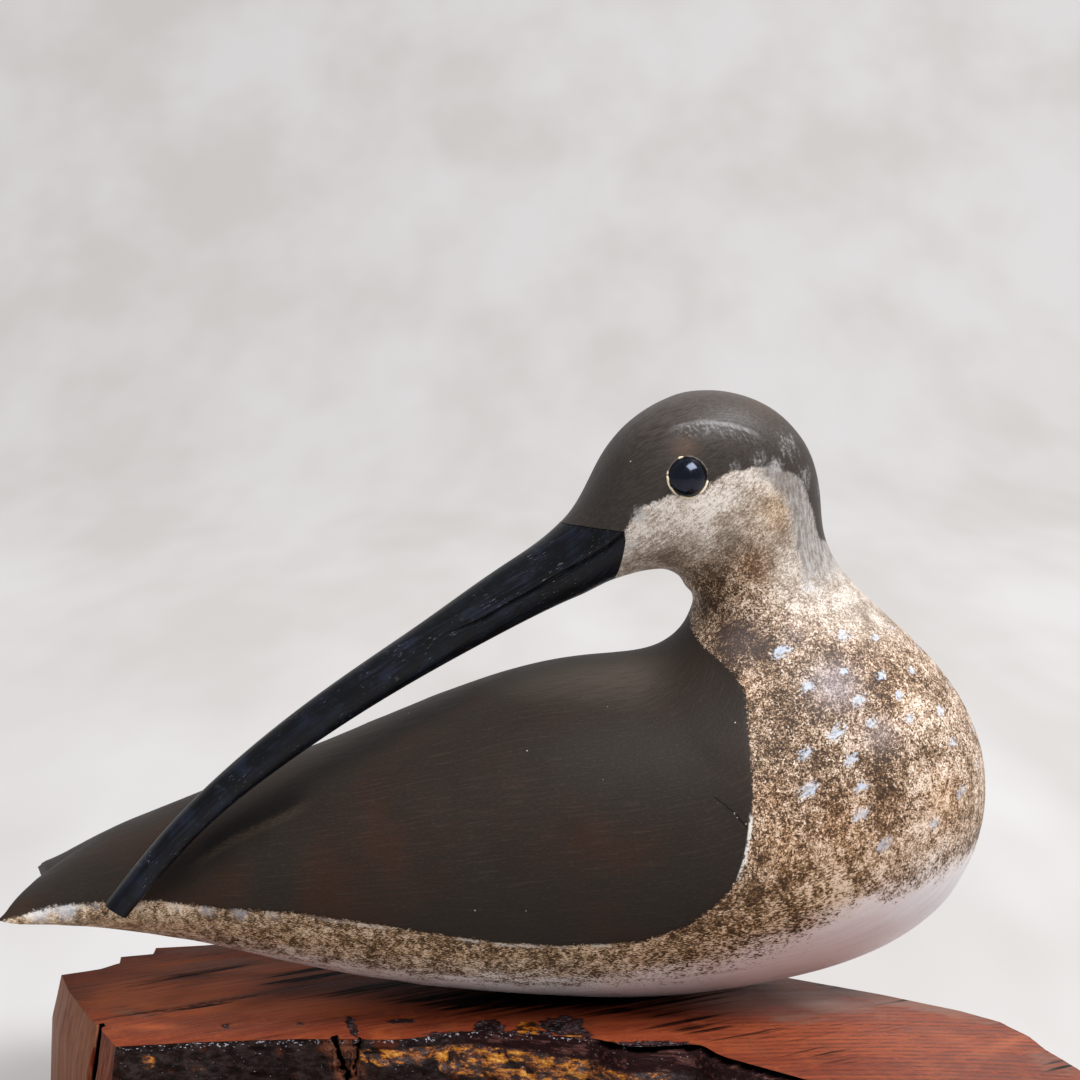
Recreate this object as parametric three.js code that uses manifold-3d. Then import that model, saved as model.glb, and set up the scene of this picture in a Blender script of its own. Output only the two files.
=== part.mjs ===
// A carved and painted shorebird decoy: a resting bird with a long curved bill, its head turned back
// along its own back, lying on a slab of wood with the bark left on one edge.
// Millimetres. +X runs from the tail to the breast, -Y is the side that the bill passes, +Z is up.

import * as THREE from "three";
import * as BufferGeometryUtils from "three/addons/utils/BufferGeometryUtils.js";
import Module from "manifold-3d";

// Driving dimensions
const birdLength = 239; // corners of the tail to the front of the breast
const headTurn = 14.2; // degrees that the head is turned to the near side of the tail
const eyeDiameter = 10.4; // a glass bead
const eyeStand = 2.6; // how far the bead stands out of the head
const eyeGap = 0.3; // round the bead in its socket
const jointGap = 0.3; // between the bill and the head that it is let into
const slabLength = 244; // along X, at the top face
const slabThickness = 32;
const slabFlare = 4; // how far the slab's sides lean out from the top face to the underside
const wingValleyDepth = 1.2; // the soft hollow between the wing and the tail
const wingValleyWidth = 9;

// How finely the forms are cut
const bodyRings = 74;
const bodyAround = 36;
const billRings = 38;
const billAround = 24;
const eyeSegments = 20;
const eyeRows = 14;
const mergeWithin = 1e-4; // points nearer than this are one

// The bird's pattern is drawn for a bird 239 long: the slab's top is at 0 and X is 0 at mid length.
// Every row is one cut across the bird, from the tail, through the breast and neck, to the bill's tip.
// inner: the cut's point on the back, throat or underside of the bill, as [x, z].
// outer: its point on the belly, breast, nape, crown or ridge of the bill.
// half: half the width there. widest: where the widest line lies, as a share from inner to outer.
// edge: how sharp the side is, from 0 where it is left out. square: 2 for an oval, as where it is left
// out, more for a squarer cut.
const PATTERN_LENGTH = 239;
const CUTS = [
  { name: "tail end", inner: [-111.4, 28.0], outer: [-111.0, 23.2], half: 24.0, widest: 1.05, edge: 0.4 },
  { name: "tail", inner: [-101.0, 35.2], outer: [-102.0, 18.9], half: 25.4, widest: 0.75, edge: 0.3 },
  { name: "tail root", inner: [-84.0, 43.2], outer: [-86.0, 15.8], half: 28.4, widest: 0.63, edge: 0.14 },
  { name: "rump", inner: [-62.0, 52.4], outer: [-65.0, 11.8], half: 33.2, widest: 0.58, edge: 0.04 },
  { name: "lower back", inner: [-38.0, 62.2], outer: [-42.0, 6.4], half: 38.6, widest: 0.55 },
  { name: "back", inner: [-12.0, 73.0], outer: [-14.0, 1.8], half: 42.6, widest: 0.54 },
  { name: "high back", inner: [14.0, 81.0], outer: [16.0, -0.8], half: 44.6, widest: 0.53 },
  { name: "shoulders", inner: [30.0, 83.0], outer: [42.0, -1.0], half: 44.6, widest: 0.52 },
  { name: "neck root", inner: [38.8, 84.6], outer: [70.0, 2.8], half: 43.2, widest: 0.52 },
  { name: "low breast", inner: [44.0, 87.6], outer: [94.4, 10.2], half: 40.4, widest: 0.52 },
  { name: "breast", inner: [47.0, 91.2], outer: [112.2, 23.2], half: 36.4, widest: 0.52 },
  { name: "full breast", inner: [48.4, 94.2], outer: [120.3, 40.6], half: 32.0, widest: 0.52 },
  { name: "high breast", inner: [49.0, 96.6], outer: [120.6, 58.0], half: 27.5, widest: 0.52 },
  { name: "crop", inner: [48.5, 98.8], outer: [113.6, 74.6], half: 23.0, widest: 0.51 },
  { name: "low neck", inner: [46.9, 100.6], outer: [100.2, 89.5], half: 18.8, widest: 0.5 },
  { name: "neck", inner: [45.2, 103.0], outer: [87.9, 101.4], half: 16.2, widest: 0.5 },
  { name: "nape", inner: [42.4, 104.7], outer: [81.2, 112.0], half: 15.6, widest: 0.5, square: 2.1 },
  { name: "high nape", inner: [39.2, 105.6], outer: [79.2, 124.4], half: 16.4, widest: 0.52, square: 2.3 },
  { name: "hind crown", inner: [35.8, 105.6], outer: [75.0, 135.8], half: 17.2, widest: 0.54, square: 2.5 },
  { name: "crown", inner: [32.4, 105.1], outer: [63.6, 145.6], half: 17.4, widest: 0.55, square: 2.6 },
  { name: "fore crown", inner: [29.4, 104.3], outer: [49.6, 148.1], half: 16.8, widest: 0.54, square: 2.5 },
  { name: "brow", inner: [26.6, 103.2], outer: [36.8, 143.8], half: 15.2, widest: 0.52, square: 2.3 },
  { name: "forehead", inner: [23.6, 101.8], outer: [27.1, 134.6], half: 12.8, widest: 0.5, square: 2.2 },
  { name: "lore", inner: [20.0, 100.0], outer: [20.5, 123.1], half: 10.2, widest: 0.5, square: 2.1 },
  { name: "bill root", inner: [15.6, 98.2], outer: [11.1, 113.8], half: 7.8, widest: 0.5, square: 2.1 },
  { name: "thick bill", inner: [9.6, 95.6], outer: [1.7, 107.8], half: 6.6, widest: 0.5, square: 2.1 },
  { name: "upper bill", inner: [-8.6, 87.0], outer: [-17.0, 95.6], half: 5.4, widest: 0.5, square: 2.2 },
  { name: "mid bill", inner: [-31.0, 75.2], outer: [-38.0, 82.2], half: 4.5, widest: 0.5, square: 2.2 },
  { name: "lower bill", inner: [-53.0, 61.6], outer: [-59.4, 66.9], half: 4.0, widest: 0.5, square: 2.2 },
  { name: "curve of bill", inner: [-71.0, 48.0], outer: [-77.4, 51.0], half: 3.6, widest: 0.5, square: 2.3 },
  { name: "tip of bill", inner: [-89.8, 27.9], outer: [-94.6, 31.1], half: 3.4, widest: 0.5, square: 2.6 },
];
const TAIL_SWEEP = 7; // how far the tail's corners reach past the notch in the middle
const TAIL_SWEEP_RUN = 16; // the travel over which that sweep dies out
const NECK_AXIS_X = 62; // the upright line that the head turns about
const TURN_STARTS = cutNumber("full breast");
const TURN_ENDS = cutNumber("high nape");
const EYE_PLACE = [41.8, 129.1]; // [x, z] on the side of the head before it is turned
const EYE_SEARCH_STEP = 0.02; // in cut numbers along the head and radians round it
const VALLEY = [[-77, 36], [-46, 51]]; // the hollow's line on the side of the body
const VALLEY_TAPER = 1.6; // 1 fades the hollow out past the ends of its line, more fades it sooner
// The bill's root is square-cornered and let into the head: [x, z] at its ridge, top corner, gape, throat.
const BILL_JOINT = [[18, 117.2], [26.9, 116.4], [27.2, 114], [26.2, 100]];
const JOINT_REACH = 30; // past both sides of the head
const HEAD_STOPS = cutNumber("bill root") + 0.4; // in front of the seat of the bill
const SEAT_FRONT_X = -6; // the seat's cut ends in front of the root of the bill
const SEAT_LOW_Z = 92; // and below it, clear of the back

// The slab's top face, clockwise from its rear left corner as seen from above, for a slab 244 long.
const SLAB_PATTERN_LENGTH = 244;
// SLAB_LEVELS: how the sides lean out, as shares of the thickness and of the flare.
const SLAB_LEVELS = [[0, 0], [0.35, 0.7], [1, 1]];
const SLAB_OUTLINE = [
  [-109, 5.7], [-100, 10.6], [-96, 15.6], [-96.5, 20.7], [-88.6, 23.3], [-88.6, 28.5], [-76, 30.8],
  [-50, 39], [-15, 40], [18, 34], [48, 21], [74, 3.2], [95, -9.5], [113, -22.5], [121, -30.6],
  [126, -41.3], [128, -50], [133, -63.6], [135, -74], [131, -85], [119, -92], [102, -90], [85, -80],
  [71, -70], [60, -60.4], [53, -54.4], [48.7, -46], [33, -48.5], [24, -42], [-5, -36.8], [-21, -43.2],
  [-44, -42.7], [-67, -44.8], [-86.5, -48], [-91.2, -37.6], [-94, -32], [-98, -23.2], [-104.6, -7.9],
];

// Materials
const paintedWood = new THREE.MeshStandardMaterial({ color: 0x5a4c3e, roughness: 0.55, metalness: 0 });
const blackWood = new THREE.MeshStandardMaterial({ color: 0x1d1f26, roughness: 0.4, metalness: 0 });
const blackGlass = new THREE.MeshStandardMaterial({ color: 0x0a0c12, roughness: 0.05, metalness: 0 });
const redWood = new THREE.MeshStandardMaterial({ color: 0x8a3f26, roughness: 0.4, metalness: 0 });

const wasm = await Module();
wasm.setup();

function cutNumber(name) {
  return CUTS.findIndex((cut) => cut.name === name);
}

// A natural cubic spline through values at places; it returns the function of the place.
function smoothThrough(places, values) {
  const last = places.length - 1;
  const bend = new Array(last + 1).fill(0);
  const held = new Array(last + 1).fill(0);
  for (let i = 1; i < last; i++) {
    const before = places[i] - places[i - 1];
    const after = places[i + 1] - places[i];
    const share = before / (before + after);
    const rise = (values[i + 1] - values[i]) / after - (values[i] - values[i - 1]) / before;
    const pivot = share * held[i - 1] + 2;
    held[i] = (share - 1) / pivot;
    bend[i] = ((6 * rise) / (before + after) - share * bend[i - 1]) / pivot;
  }
  for (let i = last - 1; i > 0; i--) bend[i] += held[i] * bend[i + 1];
  return (place) => {
    let i = 0;
    while (i < last - 1 && place > places[i + 1]) i++;
    const span = places[i + 1] - places[i];
    const a = (places[i + 1] - place) / span;
    const b = 1 - a;
    const curve = ((a ** 3 - a) * bend[i] + (b ** 3 - b) * bend[i + 1]) * (span ** 2 / 6);
    return a * values[i] + b * values[i + 1] + curve;
  };
}

// The cuts' places: the mean travel of their inner and outer points from the tail.
const places = [0];
for (let i = 1; i < CUTS.length; i++) {
  const [from, to] = [CUTS[i - 1], CUTS[i]];
  const innerStep = Math.hypot(to.inner[0] - from.inner[0], to.inner[1] - from.inner[1]);
  const outerStep = Math.hypot(to.outer[0] - from.outer[0], to.outer[1] - from.outer[1]);
  places.push(places[i - 1] + (innerStep + outerStep) / 2);
}
const channel = (pick) => smoothThrough(places, CUTS.map(pick));
const shape = {
  innerX: channel((cut) => cut.inner[0]),
  innerZ: channel((cut) => cut.inner[1]),
  outerX: channel((cut) => cut.outer[0]),
  outerZ: channel((cut) => cut.outer[1]),
  half: channel((cut) => cut.half),
  widest: channel((cut) => cut.widest),
  edge: channel((cut) => cut.edge ?? 0),
  square: channel((cut) => cut.square ?? 2),
};

// The place of a cut number with a fraction, and the cut number of a place.
function placeOf(number) {
  const whole = Math.min(Math.floor(number), CUTS.length - 2);
  return places[whole] + (number - whole) * (places[whole + 1] - places[whole]);
}

function numberOf(place) {
  let i = 0;
  while (i < places.length - 2 && place > places[i + 1]) i++;
  return i + (place - places[i]) / (places[i + 1] - places[i]);
}

// One point of the pattern, at a place along it and an angle round it, before the head is turned.
function patternPoint(place, angle) {
  const power = 2 / shape.square(place);
  const across = Math.cos(angle);
  const up = Math.sin(angle);
  const y = shape.half(place) * Math.sign(across) * Math.abs(across) ** power;
  const edge = shape.edge(place);
  const rounded = Math.abs(up) ** power;
  const reach = rounded * (1 - edge + edge * rounded);
  const widest = shape.widest(place);
  const share = up >= 0 ? widest * (1 - reach) : widest + (1 - widest) * reach;
  const x = shape.innerX(place) + share * (shape.outerX(place) - shape.innerX(place));
  const z = shape.innerZ(place) + share * (shape.outerZ(place) - shape.innerZ(place));
  const sweep = TAIL_SWEEP * Math.max(0, 1 - place / TAIL_SWEEP_RUN) * Math.abs(across) ** power;
  return new THREE.Vector3(x - sweep, y, z);
}

// Turns a point about the neck's upright line, by a share of the head's turn.
function turned(point, share) {
  const angle = THREE.MathUtils.degToRad(headTurn) * share;
  const x = point.x - NECK_AXIS_X;
  return new THREE.Vector3(
    NECK_AXIS_X + x * Math.cos(angle) - point.y * Math.sin(angle),
    x * Math.sin(angle) + point.y * Math.cos(angle),
    point.z,
  );
}

// The hollow between wing and tail narrows the body along its line, most in the middle of the line.
function hollowed(point) {
  const [[x0, z0], [x1, z1]] = VALLEY;
  const length = Math.hypot(x1 - x0, z1 - z0);
  const along = ((point.x - x0) * (x1 - x0) + (point.z - z0) * (z1 - z0)) / length ** 2;
  const off = ((point.x - x0) * (z1 - z0) - (point.z - z0) * (x1 - x0)) / length;
  const fade = Math.exp(-((off / wingValleyWidth) ** 2) - ((along - 0.5) * VALLEY_TAPER) ** 4);
  point.y -= Math.sign(point.y) * Math.min(wingValleyDepth * fade, Math.abs(point.y));
  return point;
}

// A point of the bird at full size: the pattern hollowed, turned, scaled, and flat where it lies.
function birdPoint(place, angle) {
  const number = numberOf(place);
  const share = THREE.MathUtils.smoothstep(number, TURN_STARTS, TURN_ENDS);
  const point = patternPoint(place, angle);
  if (number < TURN_STARTS) hollowed(point);
  const placed = turned(point, share).multiplyScalar(birdLength / PATTERN_LENGTH);
  placed.z = Math.max(placed.z, 0);
  return placed;
}

function geometryOf(points, triangles) {
  const geometry = new THREE.BufferGeometry();
  const positions = points.flatMap((point) => point.toArray());
  geometry.setAttribute("position", new THREE.Float32BufferAttribute(positions, 3));
  geometry.setIndex(triangles);
  return geometry;
}

// The closed form between two cut numbers.
function loft(from, to, rings, around) {
  const points = [];
  const triangles = [];
  const [start, end] = [placeOf(from), placeOf(to)];
  for (let ring = 0; ring < rings; ring++) {
    const place = start + ((end - start) * ring) / (rings - 1);
    for (let side = 0; side < around; side++) {
      points.push(birdPoint(place, (2 * Math.PI * side) / around));
    }
  }
  const at = (ring, side) => ring * around + ((side + around) % around);
  for (let ring = 0; ring < rings - 1; ring++) {
    for (let side = 0; side < around; side++) {
      triangles.push(at(ring, side), at(ring, side + 1), at(ring + 1, side + 1));
      triangles.push(at(ring, side), at(ring + 1, side + 1), at(ring + 1, side));
    }
  }
  // Each end is closed by rungs from its upper to its lower edge.
  const last = rings - 1;
  for (let side = 0; side < around / 2; side++) {
    const first = [at(0, side), at(0, -side), at(0, -side - 1), at(0, side + 1)];
    const final = [at(last, side), at(last, side + 1), at(last, -side - 1), at(last, -side)];
    for (const [a, b, c, d] of [first, final]) {
      if (a !== b && b !== c) triangles.push(a, b, c);
      if (c !== d && d !== a) triangles.push(a, c, d);
    }
  }
  return geometryOf(points, triangles);
}

function solidOf(geometry) {
  const bare = geometry.clone();
  bare.deleteAttribute("normal");
  bare.deleteAttribute("uv");
  const merged = BufferGeometryUtils.mergeVertices(bare, mergeWithin);
  const vertProperties = new Float32Array(merged.attributes.position.array);
  const triVerts = new Uint32Array(merged.index.array);
  return new wasm.Manifold(new wasm.Mesh({ numProp: 3, vertProperties, triVerts }));
}

function meshOf(solid, name, material) {
  const { numProp, vertProperties, triVerts } = solid.getMesh();
  const positions = new Float32Array((vertProperties.length / numProp) * 3);
  for (let i = 0; i < positions.length / 3; i++) {
    positions.set(vertProperties.subarray(i * numProp, i * numProp + 3), i * 3);
  }
  const geometry = new THREE.BufferGeometry();
  geometry.setAttribute("position", new THREE.BufferAttribute(positions, 3));
  geometry.setIndex(new THREE.BufferAttribute(new Uint32Array(triVerts), 1));
  geometry.computeVertexNormals();
  const mesh = new THREE.Mesh(geometry, material);
  mesh.name = name;
  return mesh;
}

// An upright block across the turned head that holds the bill's root: its top and back faces are the
// joint, moved out by a gap, and it runs on forwards to frontX and down to lowZ.
function billBlock(frontX, lowZ, gap) {
  const scale = birdLength / PATTERN_LENGTH;
  const [ridge, corner, gape, throat] = BILL_JOINT.map(([x, z]) => [x + gap / scale, z + gap / scale]);
  const outline = [[frontX, ridge[1]], ridge, corner, gape, throat, [throat[0], lowZ], [frontX, lowZ]];
  const face = new THREE.Shape(outline.map(([x, z]) => new THREE.Vector2(x, z)));
  const block = new THREE.ExtrudeGeometry(face, { depth: 2 * JOINT_REACH, bevelEnabled: false });
  block.rotateX(Math.PI / 2);
  block.translate(-NECK_AXIS_X, JOINT_REACH, 0);
  block.rotateZ(THREE.MathUtils.degToRad(headTurn));
  block.translate(NECK_AXIS_X, 0, 0);
  block.scale(scale, scale, scale);
  return block;
}

// The bead's centre, sunk into the side of the head so that it stands out by eyeStand.
function eyeCentre(side) {
  const [x, z] = EYE_PLACE;
  const scale = birdLength / PATTERN_LENGTH;
  let nearest = Infinity;
  let halfWidth = 0;
  const quarter = Math.PI / 2;
  for (let number = TURN_ENDS; number <= cutNumber("lore"); number += EYE_SEARCH_STEP) {
    for (let angle = -quarter; angle < quarter; angle += EYE_SEARCH_STEP) {
      const point = patternPoint(placeOf(number), angle);
      const miss = Math.hypot(point.x - x, point.z - z);
      if (miss < nearest) [nearest, halfWidth] = [miss, point.y];
    }
  }
  const depth = halfWidth * scale + eyeStand - eyeDiameter / 2;
  return turned(new THREE.Vector3(x, (side * depth) / scale, z), 1).multiplyScalar(scale);
}

function bead(centre, radius) {
  const sphere = new THREE.SphereGeometry(radius, eyeSegments, eyeRows);
  sphere.translate(centre.x, centre.y, centre.z);
  return sphere;
}

// Bird: one carving from the tail to the head, with a socket for each eye and a seat for the bill
const eyeSides = { eye_near: -1, eye_far: 1 };
let carving = solidOf(loft(0, HEAD_STOPS, bodyRings, bodyAround));
carving = carving.subtract(solidOf(billBlock(SEAT_FRONT_X, SEAT_LOW_Z, jointGap)));
for (const side of Object.values(eyeSides)) {
  carving = carving.subtract(solidOf(bead(eyeCentre(side), eyeDiameter / 2 + eyeGap)));
}
const bird = meshOf(carving, "bird_carving", paintedWood);

// Bill: its own piece, from inside the head to the blunt tip
const billForm = solidOf(loft(cutNumber("brow"), CUTS.length - 1, billRings, billAround));
const bill = meshOf(billForm.intersect(solidOf(billBlock(-PATTERN_LENGTH, 0, 0))), "bill", blackWood);

// Eyes: glass beads in their sockets
const eyes = Object.entries(eyeSides).map(([name, side]) => {
  const eye = new THREE.Mesh(bead(new THREE.Vector3(), eyeDiameter / 2), blackGlass);
  eye.name = name;
  eye.position.copy(eyeCentre(side));
  return eye;
});

// Stand: the slab's top outline, flared to its underside
function slab() {
  const scale = slabLength / SLAB_PATTERN_LENGTH;
  const top = SLAB_OUTLINE.map(([x, y]) => new THREE.Vector2(x * scale, y * scale)).reverse();
  const points = [];
  for (const [depth, flare] of SLAB_LEVELS) {
    top.forEach((corner, i) => {
      const before = top[(i + top.length - 1) % top.length];
      const after = top[(i + 1) % top.length];
      const along = after.clone().sub(before).normalize();
      const out = new THREE.Vector2(along.y, -along.x).multiplyScalar(slabFlare * flare);
      points.push(new THREE.Vector3(corner.x + out.x, corner.y + out.y, -slabThickness * depth));
    });
  }
  const triangles = [];
  const count = top.length;
  for (let level = 0; level < SLAB_LEVELS.length - 1; level++) {
    for (let i = 0; i < count; i++) {
      const [a, b] = [level * count + i, level * count + ((i + 1) % count)];
      triangles.push(a, a + count, b + count, a, b + count, b);
    }
  }
  const underside = points.slice(-count).map((p) => new THREE.Vector2(p.x, p.y));
  const bottom = (SLAB_LEVELS.length - 1) * count;
  for (const [a, b, c] of THREE.ShapeUtils.triangulateShape(top, [])) triangles.push(a, b, c);
  for (const [a, b, c] of THREE.ShapeUtils.triangulateShape(underside, [])) {
    triangles.push(bottom + a, bottom + c, bottom + b);
  }
  const mesh = new THREE.Mesh(geometryOf(points, triangles), redWood);
  mesh.geometry.computeVertexNormals();
  mesh.name = "stand_slab";
  return mesh;
}

// The whole, with its origin under the middle of its box
const decoy = new THREE.Group();
decoy.add(slab(), bird, bill, ...eyes);
const box = new THREE.Box3().setFromObject(decoy);
const middle = box.getCenter(new THREE.Vector3());
decoy.position.set(-middle.x, -middle.y, slabThickness);

export default decoy;
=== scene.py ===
# %% [markdown]
# # A carved shorebird decoy on a slab of wood
#
# The real object is a long-billed shorebird, carved from wood and painted, that rests with its head
# turned back and its bill laid past its own wing. It lies on a slab that keeps its bark on one side.
# The packed CAD part fixes where everything is, so this lesson starts from it and only adds looks.

# %% The CAD frame
import math

import bmesh
import bpy
import numpy as np
from mathutils import Matrix, Vector
from mathutils.geometry import delaunay_2d_cdt
from mathutils.kdtree import KDTree
from mathutils.noise import fractal


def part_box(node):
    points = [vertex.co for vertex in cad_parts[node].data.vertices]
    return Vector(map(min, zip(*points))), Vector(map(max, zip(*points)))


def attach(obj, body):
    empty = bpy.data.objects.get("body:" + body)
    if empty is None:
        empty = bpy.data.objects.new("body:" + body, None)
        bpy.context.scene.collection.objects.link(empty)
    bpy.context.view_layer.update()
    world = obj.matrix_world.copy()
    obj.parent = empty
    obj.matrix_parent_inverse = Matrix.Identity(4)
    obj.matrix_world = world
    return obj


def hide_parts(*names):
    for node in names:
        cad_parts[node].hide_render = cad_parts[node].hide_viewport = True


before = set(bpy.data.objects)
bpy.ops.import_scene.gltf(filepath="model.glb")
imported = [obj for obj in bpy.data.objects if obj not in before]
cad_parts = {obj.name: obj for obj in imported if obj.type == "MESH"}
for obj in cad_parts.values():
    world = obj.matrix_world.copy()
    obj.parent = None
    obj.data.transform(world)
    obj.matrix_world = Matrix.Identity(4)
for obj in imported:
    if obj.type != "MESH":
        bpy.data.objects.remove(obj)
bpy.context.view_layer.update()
MM = 0.001

# %% [markdown]
# ## The bird's own measures
#
# The bird was drawn in millimetres over the top of its slab, with X at 0 in the middle of its length.
# Two facts of the frame say where that drawing lies in the packed part: the top of the slab, and the
# point midway between the eyes. They give one shift, which every piece of this lesson uses.

# %% From the drawing to the frame
HEAD_TURN = math.radians(14.2)
NECK_AXIS_X = 62.0
EYE_PLACE = (41.8, 129.1)
EYE_NODES = ("eye_near", "eye_far")


def turned(points, share=1.0):
    """Points of the unturned head, turned about the neck's upright line by a share of the turn."""
    angle = HEAD_TURN * share
    x = points[..., 0] - NECK_AXIS_X
    y = points[..., 1]
    across = NECK_AXIS_X + x * np.cos(angle) - y * np.sin(angle)
    return np.stack([across, x * np.sin(angle) + y * np.cos(angle), points[..., 2]], -1)


def middle_of(node):
    low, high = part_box(node)
    return np.array((low + high) / 2)


def radius_of(node):
    low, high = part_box(node)
    return (high.z - low.z) / 2


eyes_middle = (middle_of(EYE_NODES[0]) + middle_of(EYE_NODES[1])) / 2
eyes_drawn = turned(np.array([EYE_PLACE[0], 0.0, EYE_PLACE[1]])) * MM
slab_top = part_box("stand_slab")[1].z
SHIFT = np.array([*(eyes_middle - eyes_drawn)[:2], slab_top])
print("shift of the drawing in millimetres:", (SHIFT / MM).round(3))


def placed(points):
    """Drawn millimetres as metres of the frame."""
    return np.asarray(points, float) * MM + SHIFT


def drawn(points):
    """Metres of the frame as drawn millimetres."""
    return (np.asarray(points, float) - SHIFT) / MM


# %% [markdown]
# ## The camera
#
# The photograph was taken from a little above the bird, square to its side. The camera comes first,
# because the look of everything after it is judged from there. Its lens follows from the distance at
# which the drawing's outline fits the photograph's, which is 1080 pixels wide.

# %% Camera
VIEW_ELEVATION = math.radians(8.0)
VIEW_DISTANCE = 620.0
VIEW_TARGET = (11.576, 0.0, 111.496)
SENSOR_WIDTH = 36.0
PHOTO_WIDTH_PX = 1080
FOCAL_LENGTH_PX = 2544.11

back = np.array([0.0, -math.cos(VIEW_ELEVATION), math.sin(VIEW_ELEVATION)])
camera_data = bpy.data.cameras.new("photo_camera")
camera_data.sensor_width = SENSOR_WIDTH
camera_data.lens = camera_data.sensor_width * FOCAL_LENGTH_PX / PHOTO_WIDTH_PX
camera = bpy.data.objects.new("photo_camera", camera_data)
camera.location = placed(np.array(VIEW_TARGET) + back * VIEW_DISTANCE)
camera.rotation_euler = Vector(-back).to_track_quat("-Z", "Y").to_euler()
bpy.context.collection.objects.link(camera)
bpy.context.scene.camera = camera
print("lens in millimetres:", round(camera_data.lens, 2))

# %% [markdown]
# ## The form of the bird
#
# A carver starts from a drawing of the side and a few cuts across it. The form here is made the same
# way. Every cut has its point on the back, throat or underside of the bill, its point on the belly,
# breast, nape, crown or ridge of the bill, and its half width. A smooth curve runs through the cuts,
# so a fine skin of small faces can follow it from the tail, round the breast, to the tip of the bill.
# Primitives or a sculpt would not meet the solids of the part as closely.

# %% The cuts across the bird
# name, inner point, outer point, half width, where the widest line lies, sharpness of the side, squareness
CUTS = [
    ("tail end", (-111.4, 28.0), (-111.0, 23.2), 24.0, 1.05, 0.4, 2.0),
    ("tail", (-101.0, 35.2), (-102.0, 18.9), 25.4, 0.75, 0.3, 2.0),
    ("tail root", (-84.0, 43.2), (-86.0, 15.8), 28.4, 0.63, 0.14, 2.0),
    ("rump", (-62.0, 52.4), (-65.0, 11.8), 33.2, 0.58, 0.04, 2.0),
    ("lower back", (-38.0, 62.2), (-42.0, 6.4), 38.6, 0.55, 0.0, 2.0),
    ("back", (-12.0, 73.0), (-14.0, 1.8), 42.6, 0.54, 0.0, 2.0),
    ("high back", (14.0, 81.0), (16.0, -0.8), 44.6, 0.53, 0.0, 2.0),
    ("shoulders", (30.0, 83.0), (42.0, -1.0), 44.6, 0.52, 0.0, 2.0),
    ("neck root", (38.8, 84.6), (70.0, 2.8), 43.2, 0.52, 0.0, 2.0),
    ("low breast", (44.0, 87.6), (94.4, 10.2), 40.4, 0.52, 0.0, 2.0),
    ("breast", (47.0, 91.2), (112.2, 23.2), 36.4, 0.52, 0.0, 2.0),
    ("full breast", (48.4, 94.2), (120.3, 40.6), 32.0, 0.52, 0.0, 2.0),
    ("high breast", (49.0, 96.6), (120.6, 58.0), 27.5, 0.52, 0.0, 2.0),
    ("crop", (48.5, 98.8), (113.6, 74.6), 23.0, 0.51, 0.0, 2.0),
    ("low neck", (46.9, 100.6), (100.2, 89.5), 18.8, 0.5, 0.0, 2.0),
    ("neck", (45.2, 103.0), (87.9, 101.4), 16.2, 0.5, 0.0, 2.0),
    ("nape", (42.4, 104.7), (81.2, 112.0), 15.6, 0.5, 0.0, 2.1),
    ("high nape", (39.2, 105.6), (79.2, 124.4), 16.4, 0.52, 0.0, 2.3),
    ("hind crown", (35.8, 105.6), (75.0, 135.8), 17.2, 0.54, 0.0, 2.5),
    ("crown", (32.4, 105.1), (63.6, 145.6), 17.4, 0.55, 0.0, 2.6),
    ("fore crown", (29.4, 104.3), (49.6, 148.1), 16.8, 0.54, 0.0, 2.5),
    ("brow", (26.6, 103.2), (36.8, 143.8), 15.2, 0.52, 0.0, 2.3),
    ("forehead", (23.6, 101.8), (27.1, 134.6), 12.8, 0.5, 0.0, 2.2),
    ("lore", (20.0, 100.0), (20.5, 123.1), 10.2, 0.5, 0.0, 2.1),
    ("bill root", (15.6, 98.2), (11.1, 113.8), 7.8, 0.5, 0.0, 2.1),
    ("thick bill", (9.6, 95.6), (1.7, 107.8), 6.6, 0.5, 0.0, 2.1),
    ("upper bill", (-8.6, 87.0), (-17.0, 95.6), 5.4, 0.5, 0.0, 2.2),
    ("mid bill", (-31.0, 75.2), (-38.0, 82.2), 4.5, 0.5, 0.0, 2.2),
    ("lower bill", (-53.0, 61.6), (-59.4, 66.9), 4.0, 0.5, 0.0, 2.2),
    ("curve of bill", (-71.0, 48.0), (-77.4, 51.0), 3.6, 0.5, 0.0, 2.3),
    ("tip of bill", (-89.8, 27.9), (-94.6, 31.1), 3.4, 0.5, 0.0, 2.6),
]
CUT_NAMES = [cut[0] for cut in CUTS]
TAIL_SWEEP = 7.0
TAIL_SWEEP_RUN = 16.0
TAIL_EDGE = 1.4  # the tail's end is rounded over this travel
TAIL_END_SHARE = 0.35  # the thickness that is left at the very end
VALLEY = ((-77.0, 36.0), (-46.0, 51.0))
VALLEY_DEPTH = 1.2
VALLEY_WIDTH = 9.0
VALLEY_TAPER = 1.6


def natural_spline(places, values):
    """The natural cubic spline through values at places, as a function of the place."""
    count = len(places)
    span = np.diff(places)
    rise = np.diff(values) / span
    system = np.eye(count)
    right = np.zeros(count)
    for i in range(1, count - 1):
        system[i, i - 1:i + 2] = (span[i - 1], 2 * (span[i - 1] + span[i]), span[i])
        right[i] = 6 * (rise[i] - rise[i - 1])
    bend = np.linalg.solve(system, right)

    def at(place):
        i = np.clip(np.searchsorted(places, place) - 1, 0, count - 2)
        before = (places[i + 1] - place) / span[i]
        after = 1 - before
        straight = before * values[i] + after * values[i + 1]
        curve = (before**3 - before) * bend[i] + (after**3 - after) * bend[i + 1]
        return straight + curve * span[i] ** 2 / 6

    return at


def smoothstep(value, low, high):
    share = np.clip((value - low) / (high - low), 0, 1)
    return share * share * (3 - 2 * share)


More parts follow.
